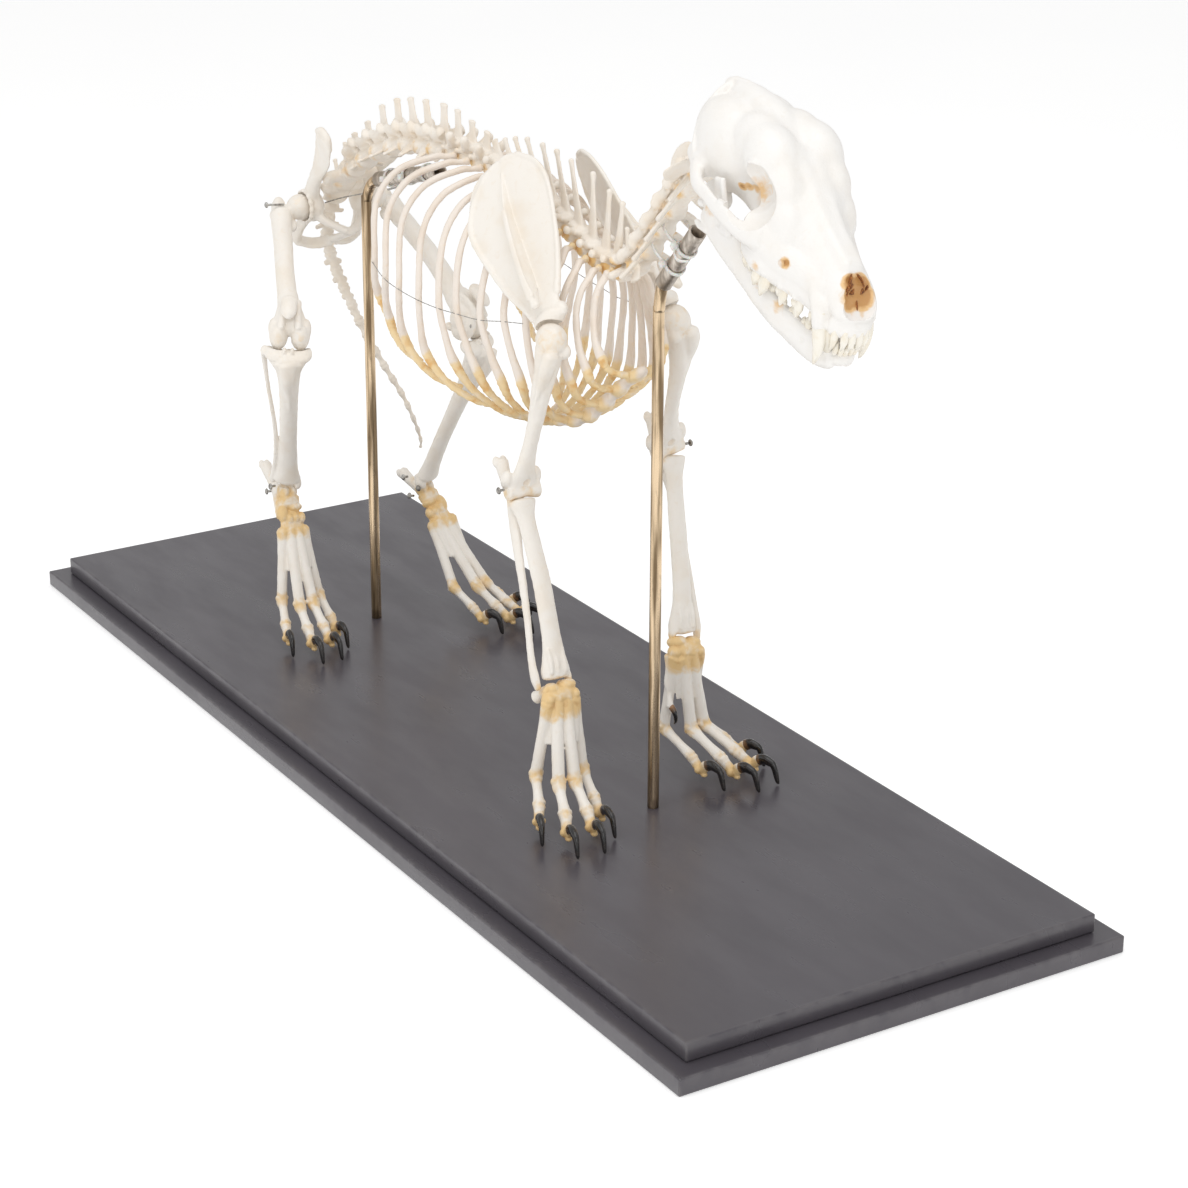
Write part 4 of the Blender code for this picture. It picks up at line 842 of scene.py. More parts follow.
def vertebra_frame(chain, i):
    """Frame at vertebra i: forward along the spine, left, and up towards its spinous tip side."""
    here = np.array([chain[i][0], 0, chain[i][1]], float)
    ahead = np.array([chain[max(i - 1, 0)][0], 0, chain[max(i - 1, 0)][1]], float)
    behind = np.array([chain[min(i + 1, len(chain) - 1)][0], 0, chain[min(i + 1, len(chain) - 1)][1]],
                      float)
    along = unit(ahead - behind)
    left = np.array([0, 1.0, 0])
    return Frame(here, along, left, np.cross(along, left)), np.linalg.norm(ahead - behind) / 2


def spine_chain():
    return [body for body, _ in NECK + THORAX + LOINS + SACRUM]


def border(chain, i, towards_head):
    """The plane half a disc short of the border between body i and the next one, for press()."""
    j = i - 1 if towards_head else i + 1
    here = np.array([chain[i][0], 0, chain[i][1]], float)
    other = np.array([chain[j][0], 0, chain[j][1]], float)
    direction = unit(other - here)
    return ((here + other) / 2 - direction * DISC_GAP / 2, direction, 17.0)


def forearm_frame(i, side):
    return limb_frame(ELBOW[i], WRIST[i], side, 142.0)


def blade_frame(i, side):
    shoulder = np.array(SHOULDER[i], float)
    top = np.array(BLADE_TOP[i], float)
    # The front edge of the blade lies nearer to the midline than the rear edge.
    return limb_frame(top, shoulder, side, 142.0, front_hint=(0.93, -side * 0.32, 0.35))


def arm_frame(i, side):
    return limb_frame(SHOULDER[i], ELBOW[i], side, 143.0)


def thigh_frame(i, side):
    return limb_frame(HIP[i], KNEE[i], side, 160.0, front_hint=(1, side * 0.55, 0.2))


def shin_frame(i, side):
    return limb_frame(KNEE[i], ANKLE[i], side, 162.0, front_hint=(1, side * 0.55, 0.2))


def paw_frame(stand, side):
    x, y, yaw, _ = stand
    turn = math.radians(yaw)
    forward = np.array([math.cos(turn), math.sin(turn), 0])
    out = np.array([-math.sin(turn), math.cos(turn), 0]) * side
    return Frame((x, y, 0), forward, out, (0, 0, 1))


def hock_frame(i, side):
    frame = paw_frame(HIND_PAW[i], side)
    heads = np.mean([frame.at(*joints[0]) for joints in HIND_TOES], axis=0)
    return limb_frame(np.array(ANKLE[i], float), heads, side, 100.0, front_hint=(1, 0, 0.4))


def joint_stains_and_shade():
    """Where glue, grease and dried ligament have yellowed the bones, other warm spots on the skull, and
    painted shade in the skull's eye sockets, their small openings and the openings in the cheeks: (x, y, z,
    reach, strength).
    """
    spots = []

    def add(point, reach, strength):
        spots.append((*(float(c) for c in point), reach, strength))

    for _, side, i in SIDES:
        arm, forearm = arm_frame(i, side), forearm_frame(i, side)
        thigh, hock = thigh_frame(i, side), hock_frame(i, side)
        for share in (-9, 0, 9):
            add(arm.at(0, share, 143), 13, 0.62)
            add(forearm.at(3, share, 148), 15, 0.95)
            add(forearm.at(5, share * 1.1, 158), 14, 1.0)
            add(hock.at(1, share, 6), 14, 0.85)
            add(hock.at(2, share, 22), 14, 0.95)
            add(hock.at(2, share, 36), 12, 0.9)
            add(thigh.at(2, share, 153), 9, 0.35)
        add(forearm.at(-12, 0, 4), 14, 0.6)
        add(SHOULDER[i], 17, 0.5)
        add(HIP[i], 17, 0.42)
        add(hock.at(-18, 3, -12), 9, 0.5)
        for stand, toes in ((FORE_PAW, FORE_TOES), (HIND_PAW, HIND_TOES)):
            frame = paw_frame(stand[i], side)
            for knuckle, middle, end, _ in toes:
                lean = stand[i][3]
                add(frame.at(knuckle[0] + lean, knuckle[1], knuckle[2]), 11, 0.85)
                add(frame.at(*middle), 8, 0.75)
                add(frame.at(*end), 12, 1.15)
    chain = spine_chain()
    for i in range(len(chain) - 1):
        here = (np.array(chain[i], float) + np.array(chain[i + 1], float)) / 2
        strength = 1.25 if 6 <= i <= 10 else 0.75 if i < 6 else 0.62
        for y in (-6, 0, 6):
            add((here[0], y, here[1]), 8, strength)
        if i >= 6:
            add((here[0] + 2, 12, here[1] + 6), 7, strength * 0.7)
            add((here[0] + 2, -12, here[1] + 6), 7, strength * 0.7)
    for x, z in BREASTBONE_JOINTS:
        for y in (-7, 0, 7):
            add((x, y, z), 11, 0.95)
    skull = skull_frame()
    for u, v, w, reach, strength in SKULL_STAINS_AND_SHADE:
        for turn in (-1, 1):
            add(skull.at(u, v * turn, w), reach, strength)
    return spots


# Stains and painted shade on the skull in its own frame (forward, outward, up), with reach and strength
SKULL_STAINS_AND_SHADE = (
    # Eye socket: dark spots in its small openings and a warm wash over its inner wall, painted shade
    (84.5, 21, 32, 4.6, 1.5),
    (79.5, 22.5, 30.5, 4.6, 1.5),
    (75, 24, 28, 4.2, 1.5),
    (92, 20, 36, 15, 0.62),
    # Dark spot inside the opening in the cheek below the eye, painted shade
    (143, 25.4, 16.2, 5.4, 1.3),
    (118, 27.5, 39, 5, 0.75),
    (122, 31, 2, 6, 0.8),
    (112, 29, 0, 6, 0.8),
    (101, 28, 3, 6, 1.0),
    (150, 21, 0, 5, 0.6),
    (190, 9, -3, 6, 0.6),
    (186, 4.5, 16, 10, 2.1),
    (184, 3.5, 25, 8, 2.1),
    (195, 3, 11, 4, 1.0),
    (60, 30, 4, 9, 0.9),
    (8, 9, 14, 9, 0.7),
    (140, 20, -20, 7, 0.7),
    (120, 24, -14, 7, 0.7),
    (175, 10, -20, 7, 0.7),
)
STAINS_AND_SHADE = joint_stains_and_shade()


def add_spinous(forms, frame, tip, base_up, base_width, tip_width, thick):
    """A thin plate from the arch to the tip, which ends in a thicker knob."""
    tip = np.array([tip[0], 0, tip[1]], float)
    root = frame.at(0, 0, base_up)
    middle = root * 0.45 + tip * 0.55
    rows = [
        (*root, base_width * 1.1, thick * 1.9),
        (*(root * 0.75 + tip * 0.25), base_width * 0.92, thick * 1.0),
        (*middle, (base_width + tip_width) / 2 * 0.85, thick * 0.75),
        (*(root * 0.15 + tip * 0.85), tip_width * 0.9, thick * 0.85),
        (*(tip - unit(tip - root) * 1.5), tip_width, thick * 1.35),
    ]
    loft(forms, rows, wide=frame.direction(1, 0, 0), sides=14, steps=4, dome=0.8)


def spine_bodies(forms, chain, first, last, radius, waist, flat=1.0, disc=0.9):
    """The row of vertebral bodies with flared rims, waists and the slightly narrower discs between them."""
    rows = []
    for i in range(first, last + 1):
        frame, length = vertebra_frame(chain, i)
        half = length / 2
        rows.append((*frame.at(half - 1.6, 0, 0.2), radius * flat * 1.04, radius * 1.04))
        rows.append((*frame.at(half * 0.45, 0, 0.5), waist * flat * 1.02, waist * 1.02))
        rows.append((*frame.at(-half * 0.35, 0, 0.7), waist * flat, waist * 0.96))
        rows.append((*frame.at(-half + 1.8, 0, 0.2), radius * flat * 1.02, radius * 1.02))
        if i < last:
            rows.append((*frame.at(-half, 0, 0), radius * flat * disc, radius * disc))
    loft(forms, rows, sides=20, steps=3, dome=0.25)


def neck_spine():
    chain = spine_chain()
    forms = []
    last = len(NECK) - 1
    spine_bodies(forms, chain, 1, last, 7.6, 6.2, 1.15)
    sockets = []
    for i in range(1, last + 1):
        frame, length = vertebra_frame(chain, i)
        half = length / 2
        arch = [(half * 0.78, 0, 9.5, 8.8, 4.2), (0, 0, 10, 7.8, 3.8), (-half * 0.8, 0, 9.5, 9, 4.4)]
        loft(forms, frame.rows(arch), sides=18, steps=3)
        tip = NECK[i][1]
        if i == 1:
            crest = [(17, 0, 14, 3.2, 1.2), (8, 0, 18.5, 6.0, 1.3), (-4, 0, 20.5, 7.0, 1.5),
                     (-14, 0, 19.5, 5.0, 2.2), (-19, 0, 15, 3.5, 2.8)]
            loft(forms, frame.rows(crest), wide=frame.direction(0, 0, 1), sides=14, steps=4)
        else:
            add_spinous(forms, frame, tip, 10, 5.0 - 0.3 * i, 2.8, 1.5)
        for side in (-1, 1):
            rear = 0.9 if i < last else 0.3
            facet = [
                (half * 0.95, side * 11, 8.5, 4.4, 4.6),
                (half * 0.35, side * 9.5, 8, 3.0, 3.8),
                (-half * 0.3, side * 9, 8.5, 3.0, 3.8),
                (-half * rear, side * 10.5, 9.8, 4.2, 4.4),
            ]
            loft(forms, frame.rows(facet), sides=12, steps=3)
            if i < last:
                wing = [
                    (half * 0.5, side * 8, -2, 5.0, 2.6),
                    (half * 0.15, side * 14, -5.5, 5.8, 1.9),
                    (-half * 0.3, side * 18.5, -8, 4.4, 1.8),
                    (-half * 0.55, side * 20.5, -9, 3.0, 2.2),
                ]
                loft(forms, frame.rows(wing), wide=frame.direction(1, 0, 0), sides=12, steps=3)
                sockets.append((frame.at(half * 0.45, side * 12.5, 3.5), 3.0))
            else:
                stub = [(0, side * 8, 0, 4.5, 3.0), (-2, side * 17, -2, 3.5, 2.6)]
                loft(forms, frame.rows(stub), wide=frame.direction(1, 0, 0), sides=12, steps=3)
            if i == last - 1:
                sled = [(2, side * 10, -6, 6.5, 1.6), (-1, side * 14, -15, 9, 1.4)]
                loft(forms, frame.rows(sled), wide=frame.direction(1, 0, 0), sides=12, steps=3)
    frame, length = vertebra_frame(chain, 0)
    ring = [(7, 0, 0, 13.5, 9.5), (2, 0, 0, 12.5, 9), (-4, 0, 0, 11.5, 8.6), (-12, 0, 0, 9, 8)]
    loft(forms, frame.rows(ring), sides=20, steps=3)
    ball(forms, frame.at(-2, 0, 9.5), (5.5, 4.5, 2.6), axes=frame.axes, sides=14)
    for side in (-1, 1):
        wing = [(1, side * 9, 0, 8, 3), (-2, side * 17, -1, 11.5, 1.7), (-4, side * 25, -2.2, 11.5, 1.5),
                (-7, side * 31, -2.8, 8.5, 2.0)]
        loft(forms, frame.rows(wing), wide=frame.direction(1, 0, 0), sides=14, steps=3)
        sockets.append((frame.at(5.5, side * 16.5, 2.5), 2.6))
        sockets.append((frame.at(-9, side * 19, 2.0), 2.2))
    skull = skull_frame()
    sockets += [(skull.at(6, side * 9, 16), 9.2) for side in (-1, 1)]
    grown("cervical_spine_fine", forms, SPINE, 0.8, 4, sockets, [border(chain, last, False)], 0.16)


def thoracic_spine():
    chain = spine_chain()
    first = len(NECK)
    last = first + len(THORAX) - 1
    forms, sockets = [], []
    spine_bodies(forms, chain, first, last, 7.5, 5.9)
    for i in range(first, last + 1):
        frame, length = vertebra_frame(chain, i)
        number = i - first + 1
        half = length / 2
        arch = [(half * 0.72, 0, 9, 7.2, 3.4), (0, 0, 9.4, 6.2, 3.2), (-half * 0.75, 0, 9, 6.8, 3.4)]
        loft(forms, frame.rows(arch), sides=16, steps=3)
        base_width = 5.2 if number < 10 else 6.5
        tip_width = 2.8 if number < 10 else 5.0
        add_spinous(forms, frame, THORAX[number - 1][1], 9, base_width, tip_width, 1.6)
        for side in (-1, 1):
            if number < 11:
                arm = [(2, side * 6, 8, 3.6, 3.0), (2.6, side * 10, 10, 2.7, 2.5),
                       (3, side * 13.5, 11.5, 3.6, 3.3)]
            else:
                arm = [(1, side * 6, 8, 4.2, 3.8), (5, side * 10, 14, 4.0, 3.4),
                       (7, side * 11, 17, 3.0, 2.8)]
                spur = [(-4, side * 6, 5, 2.4, 2.0), (-half * 1.1, side * 8.5, 4.5, 1.6, 1.3)]
                loft(forms, frame.rows(spur), wide=frame.direction(0, 0, 1), sides=10, steps=3)
            loft(forms, frame.rows(arm), wide=frame.direction(1, 0, 0), sides=12, steps=3)
            sockets.append((frame.at(-half + 0.6, side * 8.8, 4.6), 2.1))
    ends = [border(chain, first, True), border(chain, last, False)]
    grown("thoracic_spine_fine", forms, SPINE, 0.8, 3, sockets, ends, 0.14)


def loin_spine():
    chain = spine_chain()
    first = len(NECK) + len(THORAX)
    last = first + len(LOINS) - 1
    forms, sockets = [], []
    spine_bodies(forms, chain, first, last, 8.1, 6.5, 1.2)
    for i in range(first, last + 1):
        frame, length = vertebra_frame(chain, i)
        number = i - first
        half = length / 2
        arch = [(half * 0.72, 0, 9.5, 8.2, 3.8), (0, 0, 10, 7.2, 3.6), (-half * 0.75, 0, 9.5, 7.6, 3.8)]
        loft(forms, frame.rows(arch), sides=16, steps=3)
        add_spinous(forms, frame, LOINS[number][1], 10, 7.6, 5.4, 1.7)
        reach = LOIN_REACH[number]
        for side in (-1, 1):
            joint = [
                (half * 0.95, side * 8.8, 15.5, 3.8, 5.2),
                (half * 0.4, side * 7.2, 13, 3.3, 4.0),
                (-half * 0.3, side * 6, 12, 3.2, 3.8),
                (-half * 0.95, side * 5.4, 14.5, 3.0, 4.0),
            ]
            loft(forms, frame.rows(joint), sides=12, steps=3)
            arm = [
                (1, side * 7, -1, 5.6, 2.8),
                (4, side * reach * 0.5, -2.5, 4.8, 2.0),
                (7.5, side * reach * 0.8, -4.2, 3.4, 1.3),
                (10, side * reach, -5.0, 2.6, 1.5),
            ]
            loft(forms, frame.rows(arm), wide=frame.direction(1, 0, 0), sides=12, steps=3)
            sockets.append((frame.at(-half + 0.4, side * 9.5, 5.2), 2.3))
    ends = [border(chain, first, True), border(chain, last, False)]
    grown("lumbar_spine_fine", forms, SPINE, 0.8, 3, sockets, ends, 0.14)


def sacrum_bone():
    chain = spine_chain()
    first = len(chain) - len(SACRUM)
    forms, sockets = [], []
    spine_bodies(forms, chain, first, len(chain) - 1, 8.0, 7.0, 1.3, 0.97)
    for i in range(first, len(chain)):
        frame, _ = vertebra_frame(chain, i)
        number = i - first
        loft(forms, frame.rows([(6, 0, 8, 8, 4), (-6, 0, 8, 6.5, 4)]), sides=16, steps=3)
        add_spinous(forms, frame, SACRUM[number][1], 8, 5.2, 3.6, 1.5)
        for side in (-1, 1):
            sockets.append((frame.at(-6.5, side * 7.5, 9.5), 2.0))
            if number < 2:
                wing = [(0, side * 7, 0, 7, 6), (1, side * 13, 0, 6, 5), (0, side * (21 - 6 * number), -1,
                        6.8 - number, 5.5)]
                loft(forms, frame.rows(wing), wide=frame.direction(1, 0, 0), sides=14, steps=3)
    grown("sacrum_fine", forms, SPINE, 0.8, 4, sockets, [border(chain, first, True)], 0.14)


def tail_bones():
    curve = curve_rows(TAIL_CURVE, 12)
    run = np.concatenate([[0], np.cumsum(np.linalg.norm(np.diff(curve, axis=0), axis=1))])
    shares = np.array([1.0 - 0.022 * k for k in range(TAIL_VERTEBRAE)])
    ends = np.concatenate([[0], np.cumsum(shares)]) / shares.sum() * run[-1]

    def at(where):
        return np.array([np.interp(where, run, curve[:, axis]) for axis in range(3)])

    forms, rows = [], []
    for k in range(TAIL_VERTEBRAE):
        thick = 5.6 * (1 - k / TAIL_VERTEBRAE) + 1.5
        for share, swell in ((0.04, 0.8), (0.12, 1.0), (0.3, 0.68), (0.55, 0.56), (0.75, 0.64),
                             (0.9, 0.92), (0.97, 0.8)):
            point = at(ends[k] + (ends[k + 1] - ends[k]) * share)
            rows.append((*point, thick * swell, thick * swell * 0.92))
    loft(forms, rows, sides=14, steps=2, dome=0.6)
    for k in range(7):
        point = at((ends[k] * 0.62 + ends[k + 1] * 0.38))
        along = unit(at(ends[k + 1]) - at(ends[k]))
        for side in (-1, 1):
            reach = 11.5 - 1.4 * k
            tip = point + [0, side * reach, -1] + along * 2.0
            loft(forms, [(*point, 3.8, 2), (*((point + tip) / 2), 2.8, 1.5), (*tip, 2.4, 1.4)],
                 wide=along, sides=10, steps=2)
        ball(forms, at(ends[k] * 0.9 + ends[k + 1] * 0.1) + np.cross(along, (0, 1, 0)) * 3.5,
             2.4 - 0.2 * k, sides=10)
    grown("tail_fine", forms, SPINE, 0.7, 2, (), (), 0.1)


def rib_rows(number):
    """Control rows of the right-handed form of one rib and the index at which its cartilage starts."""
    chain = spine_chain()
    at = len(NECK) + number
    body = np.array(chain[at], float)
    ahead = np.array(chain[at - 1], float)
    joint = (body + ahead) / 2
    middle = RIB_MIDDLES[number]
    junction = RIB_JUNCTIONS[number]
    wide = 3.7 if 1 < number < 9 else 3.3
    thick = 2.2
    head = np.array([joint[0], 10.2, joint[1] + 1.5])
    back, drop = middle[0] - head[0], head[2] - middle[2]
    bulge = 1.0 if number > 6 else 0.86
    neck = head + [back * 0.3, (middle[1] - head[1]) * 0.26, -1.5]
    shoulder = np.array([head[0] + back * 0.85 - 1, middle[1] * 0.70 * bulge, head[2] - drop * 0.16])
    flank = np.array([head[0] + back * 1.15 - 1, middle[1] * 0.92 * (bulge + 1) / 2, head[2] - drop * 0.48])
    lower = np.array([
        middle[0] * 0.42 + junction[0] * 0.58 - 1.0,
        max(middle[1] * 0.36 + junction[1] * 0.64 + 2.2, junction[1] + 1.0),
        middle[2] * 0.42 + junction[2] * 0.58,
    ])
    rows = [
        (*head, 3.1, 3.0),
        (*(head * 0.6 + neck * 0.4 + [0, 0, -0.2]), 2.3, 2.2),
        (*neck, 3.3, 2.6),
        (*shoulder, wide * 0.98, thick + 0.3),
        (*flank, wide, thick),
        (*middle, wide, thick),
        (*lower, wide * 1.05, thick),
        (*junction, wide * 1.25, thick * 1.5),
    ]
    return rows, len(rows) - 1


def cartilage(number, junction):
    """Rows of the cartilage that runs from the rib's bony end towards the breastbone."""
    start = np.array(junction, float)
    if number == 12:
        return [(*(start * 0.5 + np.array(FREE_ENDS[3]) * 0.5), 2.0, 1.8), (*FREE_ENDS[3], 1.2, 1.2)]
    if number < len(BREASTBONE_JOINTS):
        x, z = BREASTBONE_JOINTS[number]
        end = np.array([x, 8.2, z + 1.0])
    else:
        end = np.array(FREE_ENDS[number - 9], float)
    run = end - start
    sag = 0.14 * np.linalg.norm(run)
    rows = [
        (*(start + run * 0.28 + [0, 2.0, -sag * 0.9]), 3.0, 2.6),
        (*(start + run * 0.66 + [0, 2.0, -sag * 0.85]), 2.7, 2.5),
    ]
    tip = 2.8 if number < 9 else 1.3
    rows.append((*end, tip, tip))
    return rows


def rib(name, number, side):
    """One rib with its knobbly yellow cartilage, from its head at the spine to its lower end."""
    rows, turn = rib_rows(number)
    rows = rows + cartilage(number, RIB_JUNCTIONS[number])
    rows = np.array([(x, y * side, z, a, b) for x, y, z, a, b in rows])
    steps, sides = 14, 18
    forms = []
    loft(forms, rows, wide=(1, 0, 0.35), sides=sides, steps=steps, dome=0.7)
    verts, faces = joined(forms)
    count = len(verts)
    # Each ring's number along the rib: the cartilage starts at the row numbered turn.
    ring = np.clip(np.arange(count) // sides - 1, 0, (len(rows) - 1) * steps)
    ring[-2:] = (0, (len(rows) - 1) * steps)
    share = ring / steps
    gristle = np.clip((share - turn + 0.12) / 0.3, 0, 1)
    centre = curve_rows(rows, steps)[np.minimum(ring, (len(rows) - 1) * steps), :3]
    away = verts - centre
    length = np.maximum(np.linalg.norm(away, axis=1), 1e-6)[:, None]
    lift = sway(verts, 13, number) * 0.16 + sway(verts, 3.4, number + 40) * (0.07 + 0.34 * gristle)
    verts = verts + away / length * lift[:, None]
    obj = mesh_object(name + "_fine", place(verts), faces, CAGE)
    mesh = obj.data
    edge = np.clip(np.abs(away[:, 0]) / 3.4, 0, 1) * (1 - gristle)
    blotch = 0.5 + 0.5 * sway(verts, 16, 90 + number)
    strength = 0.2 * edge + gristle * (0.5 + 0.5 * blotch) + 0.3 * np.exp(-((share - turn) / 0.22) ** 2)
    strength = np.maximum(strength, spots_at(verts, STAINS_AND_SHADE))
    note(mesh, "stain_and_shade", strength)
    # The cartilage gets a faint random mottle through the painted crevice shade channel.
    note(mesh, "cavity_shade", 0.15 * sway(verts, 4, 7) * gristle)
    dress(obj, (name,))


def breastbone():
    """The row of breastbone segments, waisted between its joints, with the flat cartilage at its end."""
    forms = []
    rows = []
    for k, (x, y, z, wide, deep) in enumerate(BREASTBONE):
        swell = 1.1 if k % 2 == 1 and k < 13 else 0.88
        rows.append((x, y, z, wide * swell, deep * swell))
    loft(forms, rows, sides=18, steps=4, dome=0.7)
    for x, z in BREASTBONE_JOINTS:
        for side in (-1, 1):
            ball(forms, (x, side * 5.2, z + 0.6), (3.6, 3.2, 3.4), sides=12)
        ball(forms, (x - 1, 0, z - 1.5), (4.0, 5.0, 3.8), sides=12)
    grown("sternum_fine", forms, CAGE, 0.8, 2, (), (), 0.3)


def pelvis_bone():
    """Both hip bones: wings, sockets, the floor and the two openings in it."""
    forms = []
    plane = (0.86, 0, -0.5)
    for _, side, i in SIDES:
        hip = np.array(HIP[i], float)
        wing = [
            (-285, side * 24, 358, 8, 6.5),
            (-280, side * 24.5, 366, 7.4, 5.6),
            (-272, side * 26, 376, 7.2, 4.4),
            (-264, side * 27.5, 384, 8.4, 3.4),
            (-255, side * 29.5, 393, 11.0, 2.5),
            (-247, side * 31.5, 402, 13.6, 2.1),
            (-240, side * 34, 412, 13.4, 2.4),
            (-236.5, side * 35, 418, 9.5, 3.2),
        ]
        loft(forms, wing, wide=plane, sides=20, steps=3)
        ball(forms, hip + [0, -side * 12, 0], (13.5, 8.5, 13.5), sides=20)
        # The rim of the socket
        for turn in np.linspace(0, 2 * math.pi, 14, endpoint=False):
            rim = hip + [11.4 * math.cos(turn), -side * 5.2, 11.4 * math.sin(turn)]
            ball(forms, rim, (3.2, 2.6, 3.2), sides=10)
        pubis = [(-282, side * 21, 344, 6, 4.6), (-275, side * 17, 339, 4.6, 3.6),
                 (-269, side * 11, 335, 4.2, 3.2), (-264, side * 3, 331, 5, 3.6)]
        loft(forms, pubis, wide=(1, 0, 0), sides=14, steps=3)
        ischium = [(-291, side * 22, 344, 7, 4.6), (-297, side * 25, 336, 5.6, 3.8),
                   (-303, side * 27, 328, 5.8, 3.6), (-309, side * 28.5, 318, 7.2, 3.8)]
        loft(forms, ischium, wide=plane, sides=14, steps=3)
        table = [(-308, side * 27, 317, 6.4, 3.4), (-304, side * 18, 314, 6.2, 2.6),
                 (-300, side * 10, 314, 6.2, 2.4), (-297, side * 2, 316, 6, 3.0)]
        loft(forms, table, wide=plane, sides=14, steps=3)
        # Rough upper edge of the wing
        crest = [(-232, side * 33, 408, 2.6, 2.6), (-231, side * 34.5, 417, 2.8, 3.2),
                 (-238, side * 36, 423, 2.8, 3.2), (-247, side * 35, 421, 2.6, 2.8)]
        loft(forms, crest, sides=12, steps=3)
    loft(forms, [(-262, 0, 331, 5, 3.8), (-280, 0, 323, 5, 3.0), (-298, 0, 316, 5, 3.2)], sides=14, steps=3)
    sockets = [(point, 12.6) for point in HIP]
    grown("pelvis_fine", forms, LIMB, 0.8, 4, sockets, (), 0.16)


def shoulder_blade(word, side, i):
    """A thin fan with a raised spine, thicker edges and the joint cup below."""
    frame = blade_frame(i, side)
    forms = []
    blade = [
        (-2, 0, -1, 19, 1.7),
        (-3, 0, 5, 28, 1.4),
        (-4, 0, 14, 34, 1.1),
        (-5, 0, 32, 38, 0.95),
        (-4, 0, 48, 37, 0.95),
        (-2, 0, 64, 33.5, 1.0),
        (0, 0, 88, 26, 1.4),
        (1, 0, 104, 18.5, 2.2),
        (1.5, 0, 114, 14, 3.6),
        (2, 0, 123, 12.5, 5.0),
    ]
    loft(forms, frame.rows(blade), wide=frame.direction(1, 0, 0), sides=40, steps=4, dome=0.6)
    front = [(16, 0, 2, 2.0, 1.8), (27, 0, 14, 1.8, 1.7), (32.5, 0, 32, 1.7, 1.6), (30, 0, 60, 1.7, 1.6),
             (24, 0, 88, 2.0, 2.0), (15, 0, 112, 2.6, 2.6)]
    rear = [(-21, 0, 2, 2.2, 1.9), (-33, 0, 12, 2.2, 2.0), (-42, 0, 32, 2.4, 2.3), (-34.5, 0, 62, 2.4, 2.4),
            (-25, 0, 88, 2.6, 2.7), (-14, 0, 108, 3.0, 3.2), (-9, 0, 119, 3.2, 3.6)]
    top = [(-21, 0, 2, 2.4, 2.2), (-10, 0, -2.5, 2.4, 2.2), (4, 0, -2.5, 2.4, 2.2), (16, 0, 2, 2.4, 2.0)]
    for edge in (front, rear, top):
        loft(forms, frame.rows(edge), wide=frame.direction(1, 0, 0), sides=12, steps=4)
    ball(forms, frame.at(3, 0, 126), (14, 8.5, 7), axes=frame.axes, sides=18)
    ball(forms, frame.at(14, -1, 124), (5, 4.5, 6), axes=frame.axes, sides=14)
    ridge = [
        (-2, 0.6, 6, 1.2, 1.4),
        (-2.6, 2.6, 20, 1.2, 2.8),
        (-3, 4.6, 36, 1.15, 4.2),
        (-2, 6.2, 56, 1.2, 5.4),
        (-0.5, 7.4, 76, 1.3, 6.2),
        (1.6, 9, 98, 1.5, 6.6),
        (3.4, 11.4, 112, 2.4, 5.0),
        (4.6, 13, 120, 3.2, 2.8),
    ]
    loft(forms, frame.rows(ridge), wide=frame.direction(1, 0, 0), sides=14, steps=4)
    lip = [(-3.4, 8.4, 38, 2.0, 1.2), (-2.2, 11.0, 58, 2.3, 1.2), (-0.6, 13.0, 78, 2.2, 1.2),
           (1.8, 15.0, 98, 2.6, 1.3), (4.2, 15.4, 114, 3.6, 1.6)]
    loft(forms, frame.rows(lip), wide=frame.direction(1, 0, 0), sides=12, steps=4)
    arm = arm_frame(i, side)
    sockets = [(arm.at(-3, -1, 0.5), 15.0), (arm.at(9, 6, 6), 8.6)]
    grown(word + "_scapula_fine", forms, LIMB, 0.75, 4, sockets, (), 0.12)


